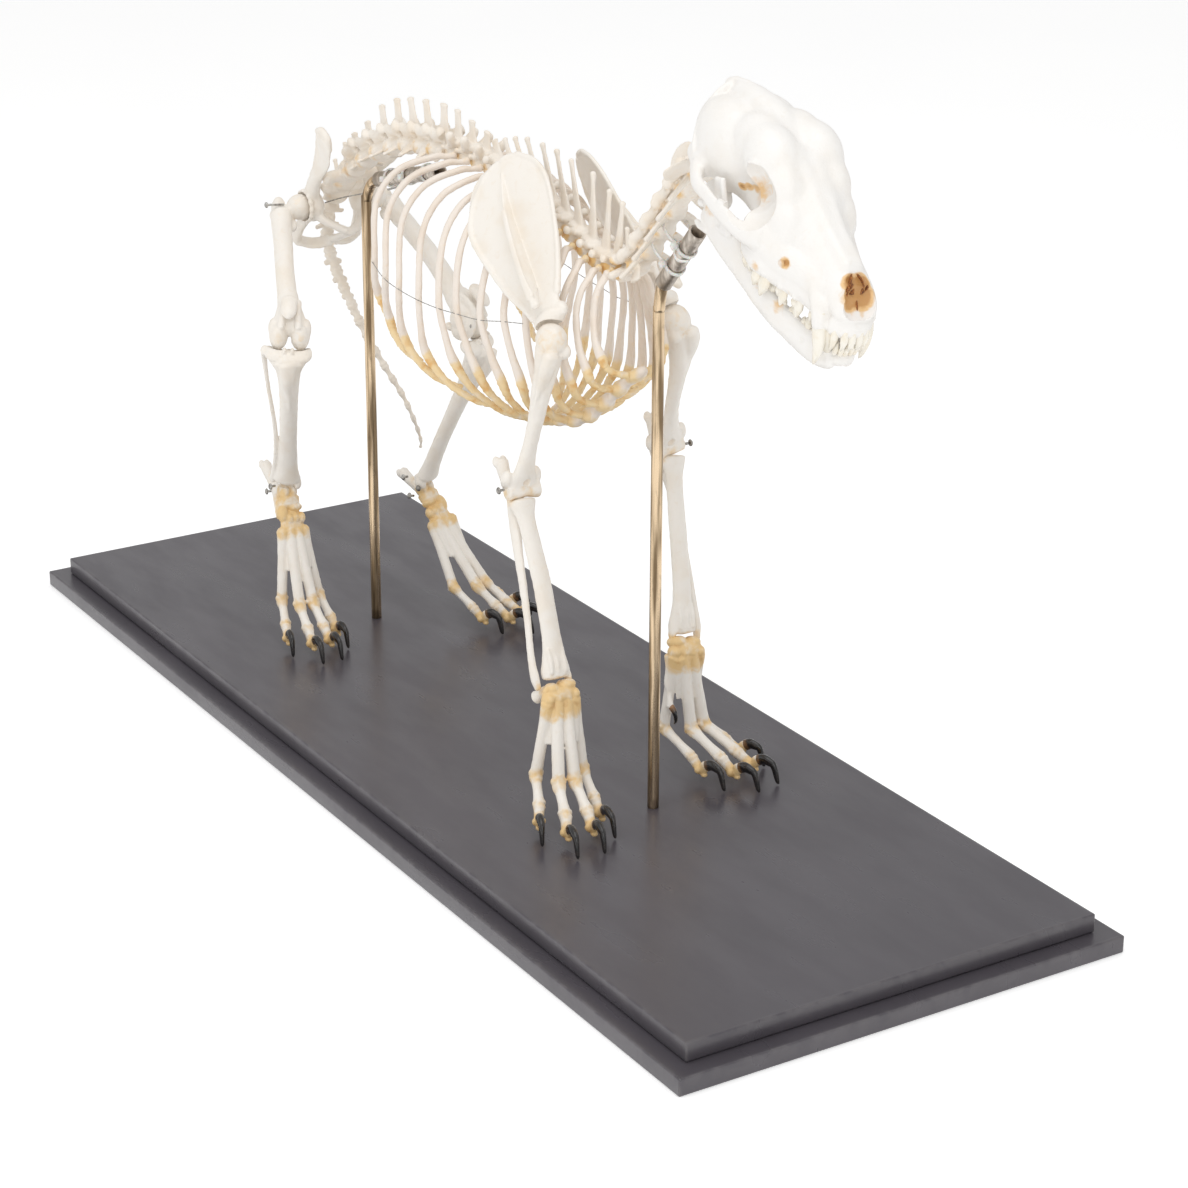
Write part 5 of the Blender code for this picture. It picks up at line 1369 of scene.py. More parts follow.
def upper_arm(word, side, i):
    frame = arm_frame(i, side)
    forms = []
    ball(forms, frame.at(-3, -1, 0.5), (12.4, 11.2, 12.0), axes=frame.axes, sides=22)
    tubercle = [(10, 6, 5, 6.6, 6.2), (10.5, 7, 14, 6.8, 5.8), (9, 7, 26, 5.6, 4.8), (6.5, 6, 38, 4.6, 3.6)]
    loft(forms, frame.rows(tubercle), sides=14, steps=3)
    ball(forms, frame.at(6, -8, 6), (6, 5, 6), axes=frame.axes, sides=14)
    shaft = [
        (-1, 0, 8, 11.4, 12.4),
        (0, 0.6, 18, 9.6, 11.4),
        (1, 1, 28, 8.2, 10.3),
        (2, 2, 46, 7.0, 9.0),
        (1.5, 1, 68, 6.0, 7.2),
        (0, 0, 92, 5.8, 5.9),
        (0, 0, 108, 6.8, 5.6),
        (0, 0, 120, 9.0, 5.3),
        (0, 0, 129, 11.6, 5.2),
        (0, 0, 137, 13.6, 5.4),
    ]
    loft(forms, frame.rows(shaft), wide=frame.direction(0, 1, 0), sides=22, steps=4)
    loft(forms, frame.rows([(8, 8, 14, 2.6, 2.8), (7.5, 8.6, 36, 2.2, 2.4), (4, 6.2, 62, 1.6, 1.8)]),
         sides=12, steps=4)
    pulley = [(0.5, -14.5, 140, 8.2, 8.2), (0.5, -10, 140, 7.4, 7.4), (0.5, -4, 140, 6.0, 6.0),
              (0.5, 2, 140, 6.8, 6.8), (0.5, 7, 140, 6.6, 6.6), (0.5, 12, 140, 6.8, 6.8)]
    loft(forms, frame.rows(pulley), wide=frame.direction(1, 0, 0), sides=20, steps=3, dome=0.25)
    ball(forms, frame.at(-5, -14, 132), (6, 4.5, 8), axes=frame.axes, sides=14)
    ball(forms, frame.at(-3, 13, 130), (5.0, 4.2, 8), axes=frame.axes, sides=14)
    sockets = [(frame.at(0.5, -1.5, 129.5), 3.4), (frame.at(-5, -1.5, 130), 4.8),
               (frame.at(6, -1.5, 130), 3.6)]
    grown(word + "_humerus_fine", forms, LIMB, 0.8, 5, sockets, (), 0.14)


def radius_bone(word, side, i):
    frame = forearm_frame(i, side)
    forms = []
    rows = [
        (3, 1, 6, 10.8, 7.0),
        (3, 1, 11, 9.8, 6.2),
        (3.4, 0.8, 20, 7.2, 5.0),
        (4, 0, 36, 7.0, 4.5),
        (5.5, -1, 66, 7.4, 4.4),
        (5, -1, 96, 7.4, 4.6),
        (4, -1, 112, 8.0, 5.0),
        (2.4, -1, 123, 9.6, 6.2),
        (1, -1, 131, 11.4, 7.2),
        (1, -1, 137, 11.4, 6.6),
    ]
    loft(forms, frame.rows(rows), wide=frame.direction(0, 1, 0), sides=22, steps=4, dome=0.3)
    for y in (-6, 0, 5):
        loft(forms, frame.rows([(6.5, y, 116, 1.6, 1.6), (7.6, y, 126, 1.9, 1.9),
                                (7, y * 1.1, 134, 1.6, 1.6)]), sides=10, steps=3)
    ball(forms, frame.at(1, -10.5, 138), (4, 2.6, 5), axes=frame.axes, sides=12)
    grown(word + "_radius_fine", forms, LIMB, 0.8, 3, (), (), 0.12)


def ulna_bone(word, side, i):
    frame = forearm_frame(i, side)
    forms = []
    rows = [
        (-19, 0, -25, 5.2, 6.4),
        (-18, 0, -19, 4.2, 6.6),
        (-17, 0, -11, 3.4, 6.6),
        (-14, 0, 2, 3.5, 5.2),
        (-9.5, 2, 14, 5.2, 6.0),
        (-8, 5, 28, 3.8, 5.4),
        (-6, 7.5, 48, 3.1, 4.4),
        (-5, 9, 66, 2.8, 3.8),
        (-3.5, 11.5, 92, 2.5, 3.1),
        (-3.5, 14.2, 118, 2.5, 3.1),
        (-3, 14.8, 134, 3.1, 4.0),
        (-2.5, 14.0, 143, 2.4, 3.0),
    ]
    loft(forms, frame.rows(rows), wide=frame.direction(0, 1, 0), sides=18, steps=4)
    for y in (-3, 3):
        ball(forms, frame.at(-21, y, -26), (4, 2.8, 4.4), axes=frame.axes, sides=12)
    ball(forms, frame.at(-8.4, 0, -11), (3.4, 3.2, 4), axes=frame.axes, sides=14)
    ball(forms, frame.at(-8, -4, 13), (4, 4.4, 4), axes=frame.axes, sides=14)
    elbow = arm_frame(i, side)
    sockets = [(elbow.at(0.5, s, 140), 8.4) for s in (-6, 0, 6)]
    grown(word + "_ulna_fine", forms, LIMB, 0.75, 3, sockets, (), 0.12)


def thigh_bone(word, side, i):
    frame = thigh_frame(i, side)
    forms = []
    ball(forms, frame.at(0, 0, 0), (10.6, 10.6, 10.6), sides=22)
    loft(forms, frame.rows([(0, 2, 1, 6.4, 6.8), (0, 8, 4, 5.6, 6.0), (0, 14, 8, 7, 8)]), sides=16, steps=3)
    ball(forms, frame.at(-3, 19, 0), (8.5, 6.0, 10), axes=frame.axes, sides=16)
    ball(forms, frame.at(2, 18, 12), (5, 4.6, 8), axes=frame.axes, sides=14)
    ball(forms, frame.at(-5, 4.5, 18), (3.8, 3.6, 6), axes=frame.axes, sides=12)
    shaft = [
        (0, 16, 10, 10.5, 9.5),
        (0.6, 15, 18, 9.6, 8.8),
        (1, 14, 28, 9.0, 8.4),
        (3, 11, 52, 8.7, 8.3),
        (4, 8, 80, 8.6, 8.3),
        (3, 4.4, 104, 9.2, 8.8),
        (2.4, 2, 117, 10.8, 9.6),
        (2, 1, 128, 13.6, 10.6),
        (0, 0, 138, 16.4, 11.2),
    ]
    loft(forms, frame.rows(shaft), wide=frame.direction(0, 1, 0), sides=22, steps=4)
    for s in (-1, 1):
        ball(forms, frame.at(-4, s * 9.6, 144), (12.2, 7.6, 10.4), axes=frame.axes, sides=20)
        ball(forms, frame.at(-1, s * 14.5, 138), (7.5, 4.2, 9), axes=frame.axes, sides=14)
        lip = [(9, s * 6, 116, 3.2, 3.4), (12, s * 6.6, 126, 3.0, 3.8), (12.4, s * 7, 136, 3.0, 4.0),
               (9, s * 7.6, 145, 3.4, 4.2)]
        loft(forms, frame.rows(lip), sides=12, steps=4)
        ball(forms, frame.at(-15, s * 8.5, 134), (3.4, 3.4, 4.2), axes=frame.axes, sides=12)
    sockets = [(frame.at(-16, 0, 148), 5.6), (frame.at(-4, 0, 156), 5.2), (frame.at(-12, 11, 3), 4.2)]
    grown(word + "_femur_fine", forms, LIMB, 0.8, 4, sockets, (), 0.14)


def kneecap(word, side, i):
    frame = thigh_frame(i, side)
    forms = []
    ball(forms, frame.at(22, 1, 132), (5.0, 6.6, 11.5), axes=frame.axes, sides=18)
    ball(forms, frame.at(22, 1, 126), (4.6, 7.0, 6), axes=frame.axes, sides=14)
    grown(word + "_patella_fine", forms, LIMB, 0.6, 3, (), (), 0.12)


def shin_bones(word, side, i):
    frame = shin_frame(i, side)
    forms = []
    for s in (-1, 1):
        ball(forms, frame.at(-3, s * 9.8, 9), (9.8, 8.8, 5.2), axes=frame.axes, sides=20)
        ball(forms, frame.at(-1, s * 3, 4.6), (3.4, 1.8, 3.4), axes=frame.axes, sides=10)
    crest = [(9, 0, 9, 7.5, 4.4), (11, 0, 17, 5.6, 5.2), (11.4, 0, 27, 4.6, 5.2), (9, -0.4, 38, 3.0, 4.6),
             (7, -1, 54, 2.0, 3.8), (5, -1, 70, 1.8, 2.4)]
    loft(forms, frame.rows(crest), sides=14, steps=4)
    shaft = [
        (0, 0, 12, 15, 10),
        (0.4, -0.2, 17, 12.4, 9.8),
        (1, -0.5, 25, 9.4, 9.2),
        (2, -1, 46, 7.5, 7.7),
        (1, -1, 78, 7.0, 6.5),
        (0, -1, 108, 7.0, 6.1),
        (0, -1, 132, 7.8, 6.4),
        (0, -0.4, 141, 9.4, 7.0),
        (0, 0, 148, 11.4, 7.6),
    ]
    loft(forms, frame.rows(shaft), wide=frame.direction(0, 1, 0), sides=22, steps=4)
    ball(forms, frame.at(0, -9, 154), (5.5, 3.2, 5.2), axes=frame.axes, sides=14)
    ball(forms, frame.at(-5, -6.5, 152), (3.4, 3.0, 4), axes=frame.axes, sides=12)
    fibula = [
        (-5, 18, 9, 3.6, 4.4),
        (-6, 18.5, 17, 2.4, 3.0),
        (-5.4, 17.2, 32, 1.8, 2.0),
        (-4, 14.5, 54, 1.7, 1.8),
        (-2, 9.5, 92, 1.8, 1.8),
        (-1, 8.5, 124, 2.0, 2.0),
        (-1, 9.6, 140, 2.4, 3.2),
        (-1, 10.5, 151, 3.0, 4.6),
    ]
    loft(forms, frame.rows(fibula), wide=frame.direction(0, 1, 0), sides=14, steps=4)
    knee = thigh_frame(i, side)
    sockets = [(knee.at(-4, s * 9, 146), 11.6) for s in (-1, 1)]
    sockets += [(frame.at(0, s, 156.5), 4.6) for s in (-3.5, 3.5)]
    grown(word + "_tibia_fine", forms, LIMB, 0.75, 3, sockets, (), 0.12)


def toe(forms, frame, root, joints, lean, thick):
    """One toe, from its long bone to the core of its claw. Returns the line that the claw follows."""
    knuckle, middle, end, tip = (np.array(p, float) for p in joints)
    knuckle = knuckle + [lean, 0, 0]
    root = np.asarray(root, float)
    knuckle, middle, end, tip = (frame.at(*p) for p in (knuckle, middle, end, tip))
    side = frame.axes[1]

    def bone(a, b, first, waist, last):
        step = unit(b - a)
        length = np.linalg.norm(b - a)
        rows = [
            (*(a + step * 0.8), first, first * 0.92),
            (*(a + step * min(4.2, length * 0.14)), first * 0.94, first * 0.9),
            (*(a * 0.7 + b * 0.3), waist * 1.02, waist),
            (*(a * 0.38 + b * 0.62), waist, waist * 0.95),
            (*(b - step * min(5.5, length * 0.2)), last * 0.86, last * 0.84),
            (*(b - step * 1.7), last, last * 0.95),
        ]
        loft(forms, rows, wide=side, sides=14, steps=3, dome=0.85)
        for s in (-1, 1):
            ball(forms, b - step * 2.2 + side * s * last * 0.5, last * 0.62, sides=10)

    bone(root, knuckle, thick * 1.12, thick * 0.86, thick * 1.02)
    under = unit(np.cross(side, knuckle - root))
    under = under if under[2] < 0 else -under
    for s in (-1, 1):
        behind = knuckle - unit(middle - knuckle) * 3.6 + [0, 0, -3.2]
        ball(forms, behind + side * s * 2.0, (2.1, 1.6, 2.6), sides=10)
    bone(knuckle, middle, thick * 0.98, thick * 0.7, thick * 0.92)
    bone(middle, end, thick * 0.92, thick * 0.74, thick * 0.92)
    forward = unit([tip[0] - end[0], tip[1] - end[1], 0])
    reach = math.hypot(tip[0] - end[0], tip[1] - end[1])
    hood = [
        (*(end + forward * 1.2 + [0, 0, 1.6]), 2.9, 4.0),
        (*(end + forward * reach * 0.16 + [0, 0, 5.6]), 2.7, 4.2),
        (*(end + forward * reach * 0.30 + [0, 0, 7.6]), 2.1, 3.0),
        (*(end + forward * reach * 0.48 + [0, 0, 8.0]), 1.4, 1.9),
    ]
    loft(forms, hood, wide=side, sides=12, steps=3, dome=0.9)
    ball(forms, end + forward * 3 + [0, 0, -1.6], (3.2, 2.6, 2.0), sides=10)
    return end, forward, reach, side, tip


def claw(forms, end, forward, reach, side, tip):
    """A horn sheath: a strongly curved hook that narrows to its tip, on the core's line."""
    rows = [
        (*(end + forward * reach * 0.24 + [0, 0, 6.8]), 3.2, 4.3),
        (*(end + forward * reach * 0.42 + [0, 0, 8.6]), 3.0, 4.1),
        (*(end + forward * reach * 0.62 + [0, 0, 8.0]), 2.7, 3.5),
        (*(end + forward * reach * 0.80 + [0, 0, 5.6]), 2.2, 2.8),
        (*(end * 0.06 + tip * 0.94 + [0, 0, 2.7]), 1.5, 1.9),
        (*(tip + [0, 0, 0.9]), 0.7, 0.8),
    ]
    loft(forms, rows, wide=side, sides=16, steps=4, dome=0.5)


def claw_set(name, forms, bases):
    obj = merged(name, forms, CLAW)
    points = np.vstack([points for points, _ in forms])
    note(obj.data, "root", np.clip(spots_at(points, [(*base, 9.5, 1.25) for base in bases]), 0, 1.2))


def close_ranks(forms, frame, start, toes, lean, wide):
    """Joins the long bones of a paw side by side in their upper half."""
    knuckles = np.array([frame.at(joints[0][0] + lean, joints[0][1], joints[0][2]) for joints in toes])
    end = knuckles.mean(0)
    rows = []
    for share, width, depth in ((0, wide, 4.4), (0.28, wide - 0.4, 3.4), (0.55, wide - 0.9, 2.2)):
        rows.append((*(start + (end - start) * share), width, depth))
    loft(forms, rows, wide=frame.direction(0, 1, 0), sides=24, steps=4)


def fore_paw(word, side, i):
    frame = paw_frame(FORE_PAW[i], side)
    forms, claws, bases = [], [], []
    arm = forearm_frame(i, side)
    # Two rows of wrist bones and the heel-like one behind
    for s, rise, wide in ((-7, 144, 7.2), (6, 145.5, 6.6)):
        ball(forms, arm.at(1.5, s, rise), (7.6, wide * 1.08, 5.0), axes=arm.axes, sides=16)
    for s, rise in ((-11, 151), (-4, 152), (3.5, 152.5), (10.5, 152)):
        ball(forms, arm.at(3, s, rise + 0.5), (6.6, 4.7, 5.0), axes=arm.axes, sides=14)
    ball(forms, arm.at(0, 0, 148.5), (4.6, 9.5, 6.5), axes=arm.axes, sides=14)
    loft(forms, arm.rows([(-5, 7, 146, 4.2, 4.2), (-11, 8, 147.5, 3.2, 3.6), (-17, 9, 149.5, 4.2, 5.2)]),
         sides=14, steps=3)
    close_ranks(forms, frame, arm.at(3, 0, 154), FORE_TOES, FORE_PAW[i][3], 14)
    ball(forms, arm.at(2, 0, 150), (7.8, 14.2, 7.6), axes=arm.axes, sides=24)
    for k, joints in enumerate(FORE_TOES):
        root = arm.at(3, (-10.5, -3.6, 3.6, 10.5)[k], 154)
        line = toe(forms, frame, root, joints, FORE_PAW[i][3], (5.0, 5.5, 5.5, 5.2)[k])
        claw(claws, *line)
        bases.append(line[0] + line[1] * line[2] * 0.2 + [0, 0, 6.5])
    # The dewclaw hangs on the inner side.
    top = arm.at(-3, -13, 154)
    inner = frame.direction(0, -1, 0)
    front = frame.direction(1, 0, 0)
    dew = [
        (*top, 2.8, 2.8),
        (*(top + inner * 1 + front * 1 + [0, 0, -10]), 2.0, 2.0),
        (*(top + inner * 2 + front * 2 + [0, 0, -21]), 2.9, 2.9),
        (*(top + inner * 3 + front * 4 + [0, 0, -30]), 1.9, 1.9),
        (*(top + inner * 4 + front * 6 + [0, 0, -38]), 2.9, 2.9),
    ]
    loft(forms, dew, wide=inner, sides=12, steps=3)
    nail = [
        (*(top + inner * 4 + front * 7 + [0, 0, -38]), 2.2, 2.6),
        (*(top + inner * 4.2 + front * 10.5 + [0, 0, -42]), 1.8, 2.2),
        (*(top + inner * 3.8 + front * 11.5 + [0, 0, -48]), 1.2, 1.5),
        (*(top + inner * 3 + front * 9.5 + [0, 0, -52]), 0.5, 0.6),
    ]
    loft(claws, nail, wide=inner, sides=14, steps=4, dome=0.6)
    bases.append(top + inner * 4 + front * 7 + [0, 0, -38])
    sockets = [(arm.at(1, s, 131), 9.4) for s in (-7, 0, 6)]
    sockets += [(arm.at(-3, 14.5, rise), 7.2) for rise in (132, 140)]
    grown(word + "_forepaw_fine", forms, LIMB, 0.62, 2, sockets, (), 0.1)
    claw_set(word + "_fore_claws", claws, bases)


def hind_paw(word, side, i):
    frame = paw_frame(HIND_PAW[i], side)
    forms, claws, bases = [], [], []
    hock, shin = hock_frame(i, side), shin_frame(i, side)
    for s in (-3.6, 3.6):
        ball(forms, hock.at(1, s, 1.5), (8.5, 4.4, 7.5), axes=hock.axes, sides=16)
    heel = [(-30, 3, -25, 5.4, 5.8), (-27, 3, -20, 5.0, 5.4), (-20, 3, -9, 4.2, 5.3),
            (-13, 3.4, 1, 4.5, 5.6), (-8, 4, 11, 6, 6.4), (-3, 4, 23, 7.8, 7.0)]
    loft(forms, hock.rows(heel), wide=hock.direction(0, 1, 0), sides=16, steps=3)
    for s in (-2.6, 2.6):
        ball(forms, hock.at(-32, 3 + s, -26), (3.2, 2.6, 4), axes=hock.axes, sides=12)
    loft(forms, hock.rows([(1, 0, 8, 10, 7.2), (1, 0, 14, 9.6, 6.8)]), wide=hock.direction(0, 1, 0),
         sides=16, steps=2)
    ball(forms, hock.at(3, -4, 17), (6, 6.4, 3.6), axes=hock.axes, sides=14)
    ball(forms, hock.at(1, 7.5, 21), (6, 4.8, 8), axes=hock.axes, sides=14)
    for s in (-8.5, -2.6, 3):
        ball(forms, hock.at(3.4, s, 26.5), (4.6, 3.6, 4.8), axes=hock.axes, sides=12)
    loft(forms, hock.rows([(0, 0, 22, 9.5, 5.6), (1, 0, 36, 11.5, 5.4)]), wide=hock.direction(0, 1, 0),
         sides=16, steps=2)
    close_ranks(forms, frame, hock.at(1, 0, 36), HIND_TOES, HIND_PAW[i][3], 12.6)
    for k, joints in enumerate(HIND_TOES):
        root = hock.at(1, (-9.5, -3.3, 3.3, 9.5)[k], 36)
        line = toe(forms, frame, root, joints, HIND_PAW[i][3], (4.9, 5.3, 5.3, 5.0)[k])
        claw(claws, *line)
        bases.append(line[0] + line[1] * line[2] * 0.2 + [0, 0, 6.5])
    sockets = [(shin.at(0, s, 150), 7.4) for s in (-8, -3, 3, 8)]
    grown(word + "_hindpaw_fine", forms, LIMB, 0.62, 2, sockets, (), 0.1)
    claw_set(word + "_hind_claws", claws, bases)


def skull_tools(forms):
    frame = skull_frame()

    def lump(u, v, w, ru, rv, rw, sides=24):
        ball(forms, frame.at(u, v, w), (ru, rv, rw), axes=frame.axes, sides=sides)

    def run(rows, wide=(0, 1, 0), sides=20, steps=4, dome=0.7):
        loft(forms, frame.rows(rows), wide=frame.direction(*wide), sides=sides, steps=steps, dome=dome)

    return frame, lump, run


def skull_bone():
    """Braincase, brows, cheek arches, muzzle and the upper jaw's tooth line."""
    base = []
    frame, lump, run = skull_tools(base)
    for side in (-1, 1):
        lump(42, side * 13, 38, 41, 21, 29, 36)
        lump(70, side * 13, 52, 26, 17, 24, 30)
        lump(86, side * 15.5, 57, 26, 17, 20.5, 32)
        # The cheek slopes down from the eye into the muzzle.
        lump(106, side * 17, 47, 20, 13.5, 18, 28)
        lump(118, side * 19, 33, 20, 12, 17, 28)
        lump(112, side * 28, 19, 17, 10, 14, 24)
        run([(98, side * 26, 15, 5, 15), (112, side * 28.5, 14, 6.5, 14.5),
             (126, side * 26.5, 13, 6.5, 13.5),
             (140, side * 22.5, 12.5, 6, 12.5), (156, side * 18, 12, 5.5, 11.5),
             (172, side * 15.5, 10, 5.5, 10.5)])
        run([(16, side * 26, 20, 8, 6), (40, side * 32, 20, 8, 6)], wide=(0, 0, 1))
    run([(92, 0, 58, 14, 10), (76, 0, 63, 13, 10), (60, 0, 67, 12, 11), (34, 0, 64, 10, 11),
         (14, 0, 58.5, 8, 10)])
    run([(8, 0, 40, 22, 18), (5, 0, 52, 15, 8)])
    run([(30, 0, 24, 22, 20), (70, 0, 22, 20, 16), (104, 0, 22, 22, 17)])
    muzzle = [
        (98, 0, 40, 24, 26),
        (108, 0, 37, 25.5, 25.5),
        (118, 0, 33, 25, 24.5),
        (132, 0, 26.5, 21.5, 21.5),
        (150, 0, 21.5, 17.5, 18),
        (168, 0, 18.5, 16.4, 15.8),
        (184, 0, 13, 16.8, 12.6),
        (193, 0, 7, 15.4, 8.2),
    ]
    run(muzzle, sides=30, steps=4, dome=0.6)
    for side in (-1, 1):
        # Nasal bones, one each side of the shallow middle furrow
        run([(96, side * 5.5, 65.5, 8, 6.5), (108, side * 5, 60, 6.4, 6), (120, side * 4.6, 54, 5.4, 5.4),
             (146, side * 4, 42, 4.6, 4.6), (164, side * 3.8, 36.6, 4.4, 4),
             (177, side * 3.6, 33.6, 4, 3)], sides=18)
    forms = [softened(base, 1.1, 60)]
    frame, lump, run = skull_tools(forms)
    for side in (-1, 1):
        lump(46, side * 20, 3, 13, 8, 9)
        lump(7, side * 9, 15, 6, 5.5, 8)
        arch = [
            (34, side * 32, 19, 6.4, 6),
            (44, side * 38.5, 18, 5.6, 4.4),
            (52, side * 41.5, 17.5, 5.4, 3.6),
            (66, side * 43, 18.5, 5.2, 2.9),
            (82, side * 44, 19, 5.6, 2.6),
            (97, side * 43, 19.5, 6.8, 3.0),
            (108, side * 38.5, 19.5, 9.0, 4.4),
            (119, side * 31, 20, 11.5, 6.5),
        ]
        run(arch, wide=(0, 0, 1))
        run([(84, side * 44, 24, 3.6, 2.2), (86, side * 43, 28, 2.4, 1.8), (87, side * 41.5, 30, 1.6, 1.4)],
            wide=(1, 0, 0), sides=12)
        # The brow spur above and behind the eye, with the ridge that runs back from it to the crest
        run([(96, side * 20, 64, 8, 5), (93, side * 28, 60, 5.4, 3.4), (90, side * 34, 54.5, 3.2, 2.2)],
            wide=(1, 0, 0))
        run([(91, side * 24, 66, 3, 2), (80, side * 18, 71.5, 2.6, 1.8), (66, side * 9, 73.8, 2.4, 1.6),
             (52, side * 2, 74, 2.6, 2)],
            sides=14)
        # The ridge behind the ears, from the nape's knob down to the side
        run([(6, 0, 61, 4, 3.4), (9, side * 13, 56, 3.2, 2.4), (13, side * 23, 44, 3.0, 2.2),
             (20, side * 29, 30, 3.2, 2.4), (30, side * 32, 20, 3, 2.4)], sides=14)
        # Tooth line and the swellings over the roots
        run([(97, side * 25.5, 6, 5.4, 9), (108, side * 28, 4, 6.6, 8.6), (120, side * 28, 3, 6.6, 9),
             (134, side * 24, 3, 5.4, 9),
             (150, side * 19.5, 4, 5.0, 9), (166, side * 16, 5, 5.0, 9), (180, side * 15, 5, 6, 9.5)],
            sides=20)
        for u, v, w in ((129, 29.8, 3), (119, 32.4, 2), (143, 25.4, 2), (156, 21.4, 2), (110, 32, 4)):
            run([(u - 4, side * (v - 3.4), w + 13, 2.6, 2.2), (u, side * v, w - 4, 2.6, 2.4)], sides=12,
                wide=(1, 0, 0))
        # The great root of the upper canine
        run([(158, side * 14.5, 19, 4.6, 4.4), (170, side * 16.6, 12, 5.6, 5.2),
             (180, side * 17.4, 1, 5.6, 5.4),
             (182.5, side * 17.4, -5, 5.4, 5.0)], wide=(0, 1, 0), sides=18)
    run([(60, 0, 74, 2.2, 2.2), (40, 0, 73.2, 1.7, 2.2), (22, 0, 69.6, 1.7, 2.5), (8, 0, 64, 3.0, 3.0),
         (4, 0, 58, 6, 7)], sides=14)
    run([(188, -12.5, -1, 7.5, 4.6), (194.5, -6, -1, 7, 4.4), (196, 0, -1, 6.5, 4.4),
         (194.5, 6, -1, 7, 4.4), (188, 12.5, -1, 7.5, 4.6)], wide=(0, 0, 1))
    sockets = []
    for side in (-1, 1):
        sockets.append((frame.at(107, side * 43, 41.5), 20.5))
        sockets.append((frame.at(99, side * 35.5, 42.5), 17))
        sockets.append((frame.at(82, side * 42, 38), 12))
        sockets += [(frame.at(56, side * v, 7), 6.2) for v in (26, 34, 42)]
        sockets += [(frame.at(u, side * v, w), 2.8) for u, v, w in ((141.5, 28.2, 15), (144.5, 27.4, 17.2))]
        for u, v, w in ((84.5, 22.5, 32), (79.5, 24, 30.5), (75, 25.5, 28)):
            sockets.append((frame.at(u, side * v, w), 2.2))
        sockets.append((frame.at(118, side * 29.5, 39), 3.4))
    # The opening of the nose
    sockets += [(frame.at(199, side * 3.2, 17.5), 10.6) for side in (-1, 1)]
    sockets += [(frame.at(194, side * 3.2, 25), 9.8) for side in (-1, 1)]
    sockets += [(frame.at(186, side * 2.6, 31), 7) for side in (-1, 1)]
    sockets.append((frame.at(-4, 0, 24), 9.5))
    grown("skull_fine", forms, HEAD, 0.85, 7, sockets, (), 0.1, SKULL_SHARE)
    nose_scrolls(frame)
    upper_teeth(frame)


def nose_scrolls(frame):
    """Thin crumpled sheets inside the nose opening, on either side of the middle wall."""
    forms = []
    loft(forms, frame.rows([(176, 0, 8, 0.9, 8), (184, 0, 14, 0.8, 10), (187.5, 0, 17, 0.6, 7)]),
         sides=12, steps=3)
    for side in (-1, 1):
        for k, (v, w) in enumerate(((3.0, 11), (6.6, 12), (4.6, 17), (7.4, 20), (2.4, 21), (5.4, 24),
                                    (3.0, 27))):
            turn = 0.5 * k + (0.4 if side > 0 else 0)
            rows = []
            for step in range(6):
                u = 172 + step * 2.9
                swing = math.sin(turn + step * 1.1)
                rows.append((u, side * (v + 1.9 * swing),
                             w + 2.0 * math.cos(turn + step * 1.3) - (188 - u) * 0.16, 0.55, 2.3))
            loft(forms, frame.rows(rows), wide=frame.direction(0, math.cos(turn), math.sin(turn)),
                 sides=10, steps=3)
    ball(forms, frame.at(176, 0, 17), (5, 9, 11), axes=frame.axes, sides=20)
    merged("nose_scrolls", forms, SCROLLS)


def tooth(forms, roots, frame, base, tip, wide, deep, hook=0.0):
    """One tooth from its neck to its tip, both in the skull's numbers."""
    base, tip = np.array(base, float), np.array(tip, float)
    bend = np.array([hook, 0, 0])
    rows = [
        (*(base * 1.25 - tip * 0.25), wide * 0.82, deep * 0.82),
        (*base, wide * 0.92, deep * 0.92),
        (*(base * 0.72 + tip * 0.28 + bend * 0.7), wide, deep),
        (*(base * 0.4 + tip * 0.6 + bend), wide * 0.72, deep * 0.72),
        (*(base * 0.12 + tip * 0.88 + bend * 0.5), wide * 0.34, deep * 0.38),
        (*tip, wide * 0.14, deep * 0.16),
    ]
    loft(forms, frame.rows(rows), wide=frame.direction(1, 0, 0), sides=14, steps=3, dome=0.5)
    roots.append((*frame.at(*base), 4.6, 0.9))


def tooth_row(name, forms, roots):
    obj = merged(name, forms, TOOTH)
    points = np.vstack([points for points, _ in forms])
    note(obj.data, "root", spots_at(points, roots))


def upper_teeth(frame):
    forms, roots = [], []
    for side in (-1, 1):
        for u, v, depth in ((199, 2.6, 15.5), (197.6, 7.2, 16), (193, 11.8, 18)):
            tooth(forms, roots, frame, (u - 1, side * v, -4), (u - 1.5, side * (v + 0.3), -depth), 2.6,
                  2.7, 1.2)
        tooth(forms, roots, frame, (181, side * 17.4, -3), (185.5, side * 17, -32), 5.2, 4.3, 3.0)
        tooth(forms, roots, frame, (170, side * 16.2, -4), (170, side * 16.4, -10.5), 2.6, 1.9)
        for u, v in ((158, 18.6), (144, 22.4)):
            tooth(forms, roots, frame, (u, side * v, -5), (u, side * (v + 0.4), -15.5), 4.6, 2.3)
            tooth(forms, roots, frame, (u - 4, side * (v + 1.2), -5), (u - 3.6, side * (v + 1.3), -10.5),
                  2.8, 2.1)
        # The big shearing tooth and the two grinding teeth behind it
        tooth(forms, roots, frame, (129, side * 27.5, -5), (128, side * 28.2, -18), 5.4, 3.2)
        tooth(forms, roots, frame, (122, side * 29.6, -5), (121, side * 30, -14.5), 4.6, 3.0)
        for u, v, w in ((112, 28.5, -10.5), (108, 29.6, -10), (110, 24.4, -8), (101, 27, -7.5),
                        (98, 25, -6.5)):
            tooth(forms, roots, frame, (u, side * v, -2), (u, side * v, w), 3.6, 3.6)
    tooth_row("upper_teeth", forms, roots)


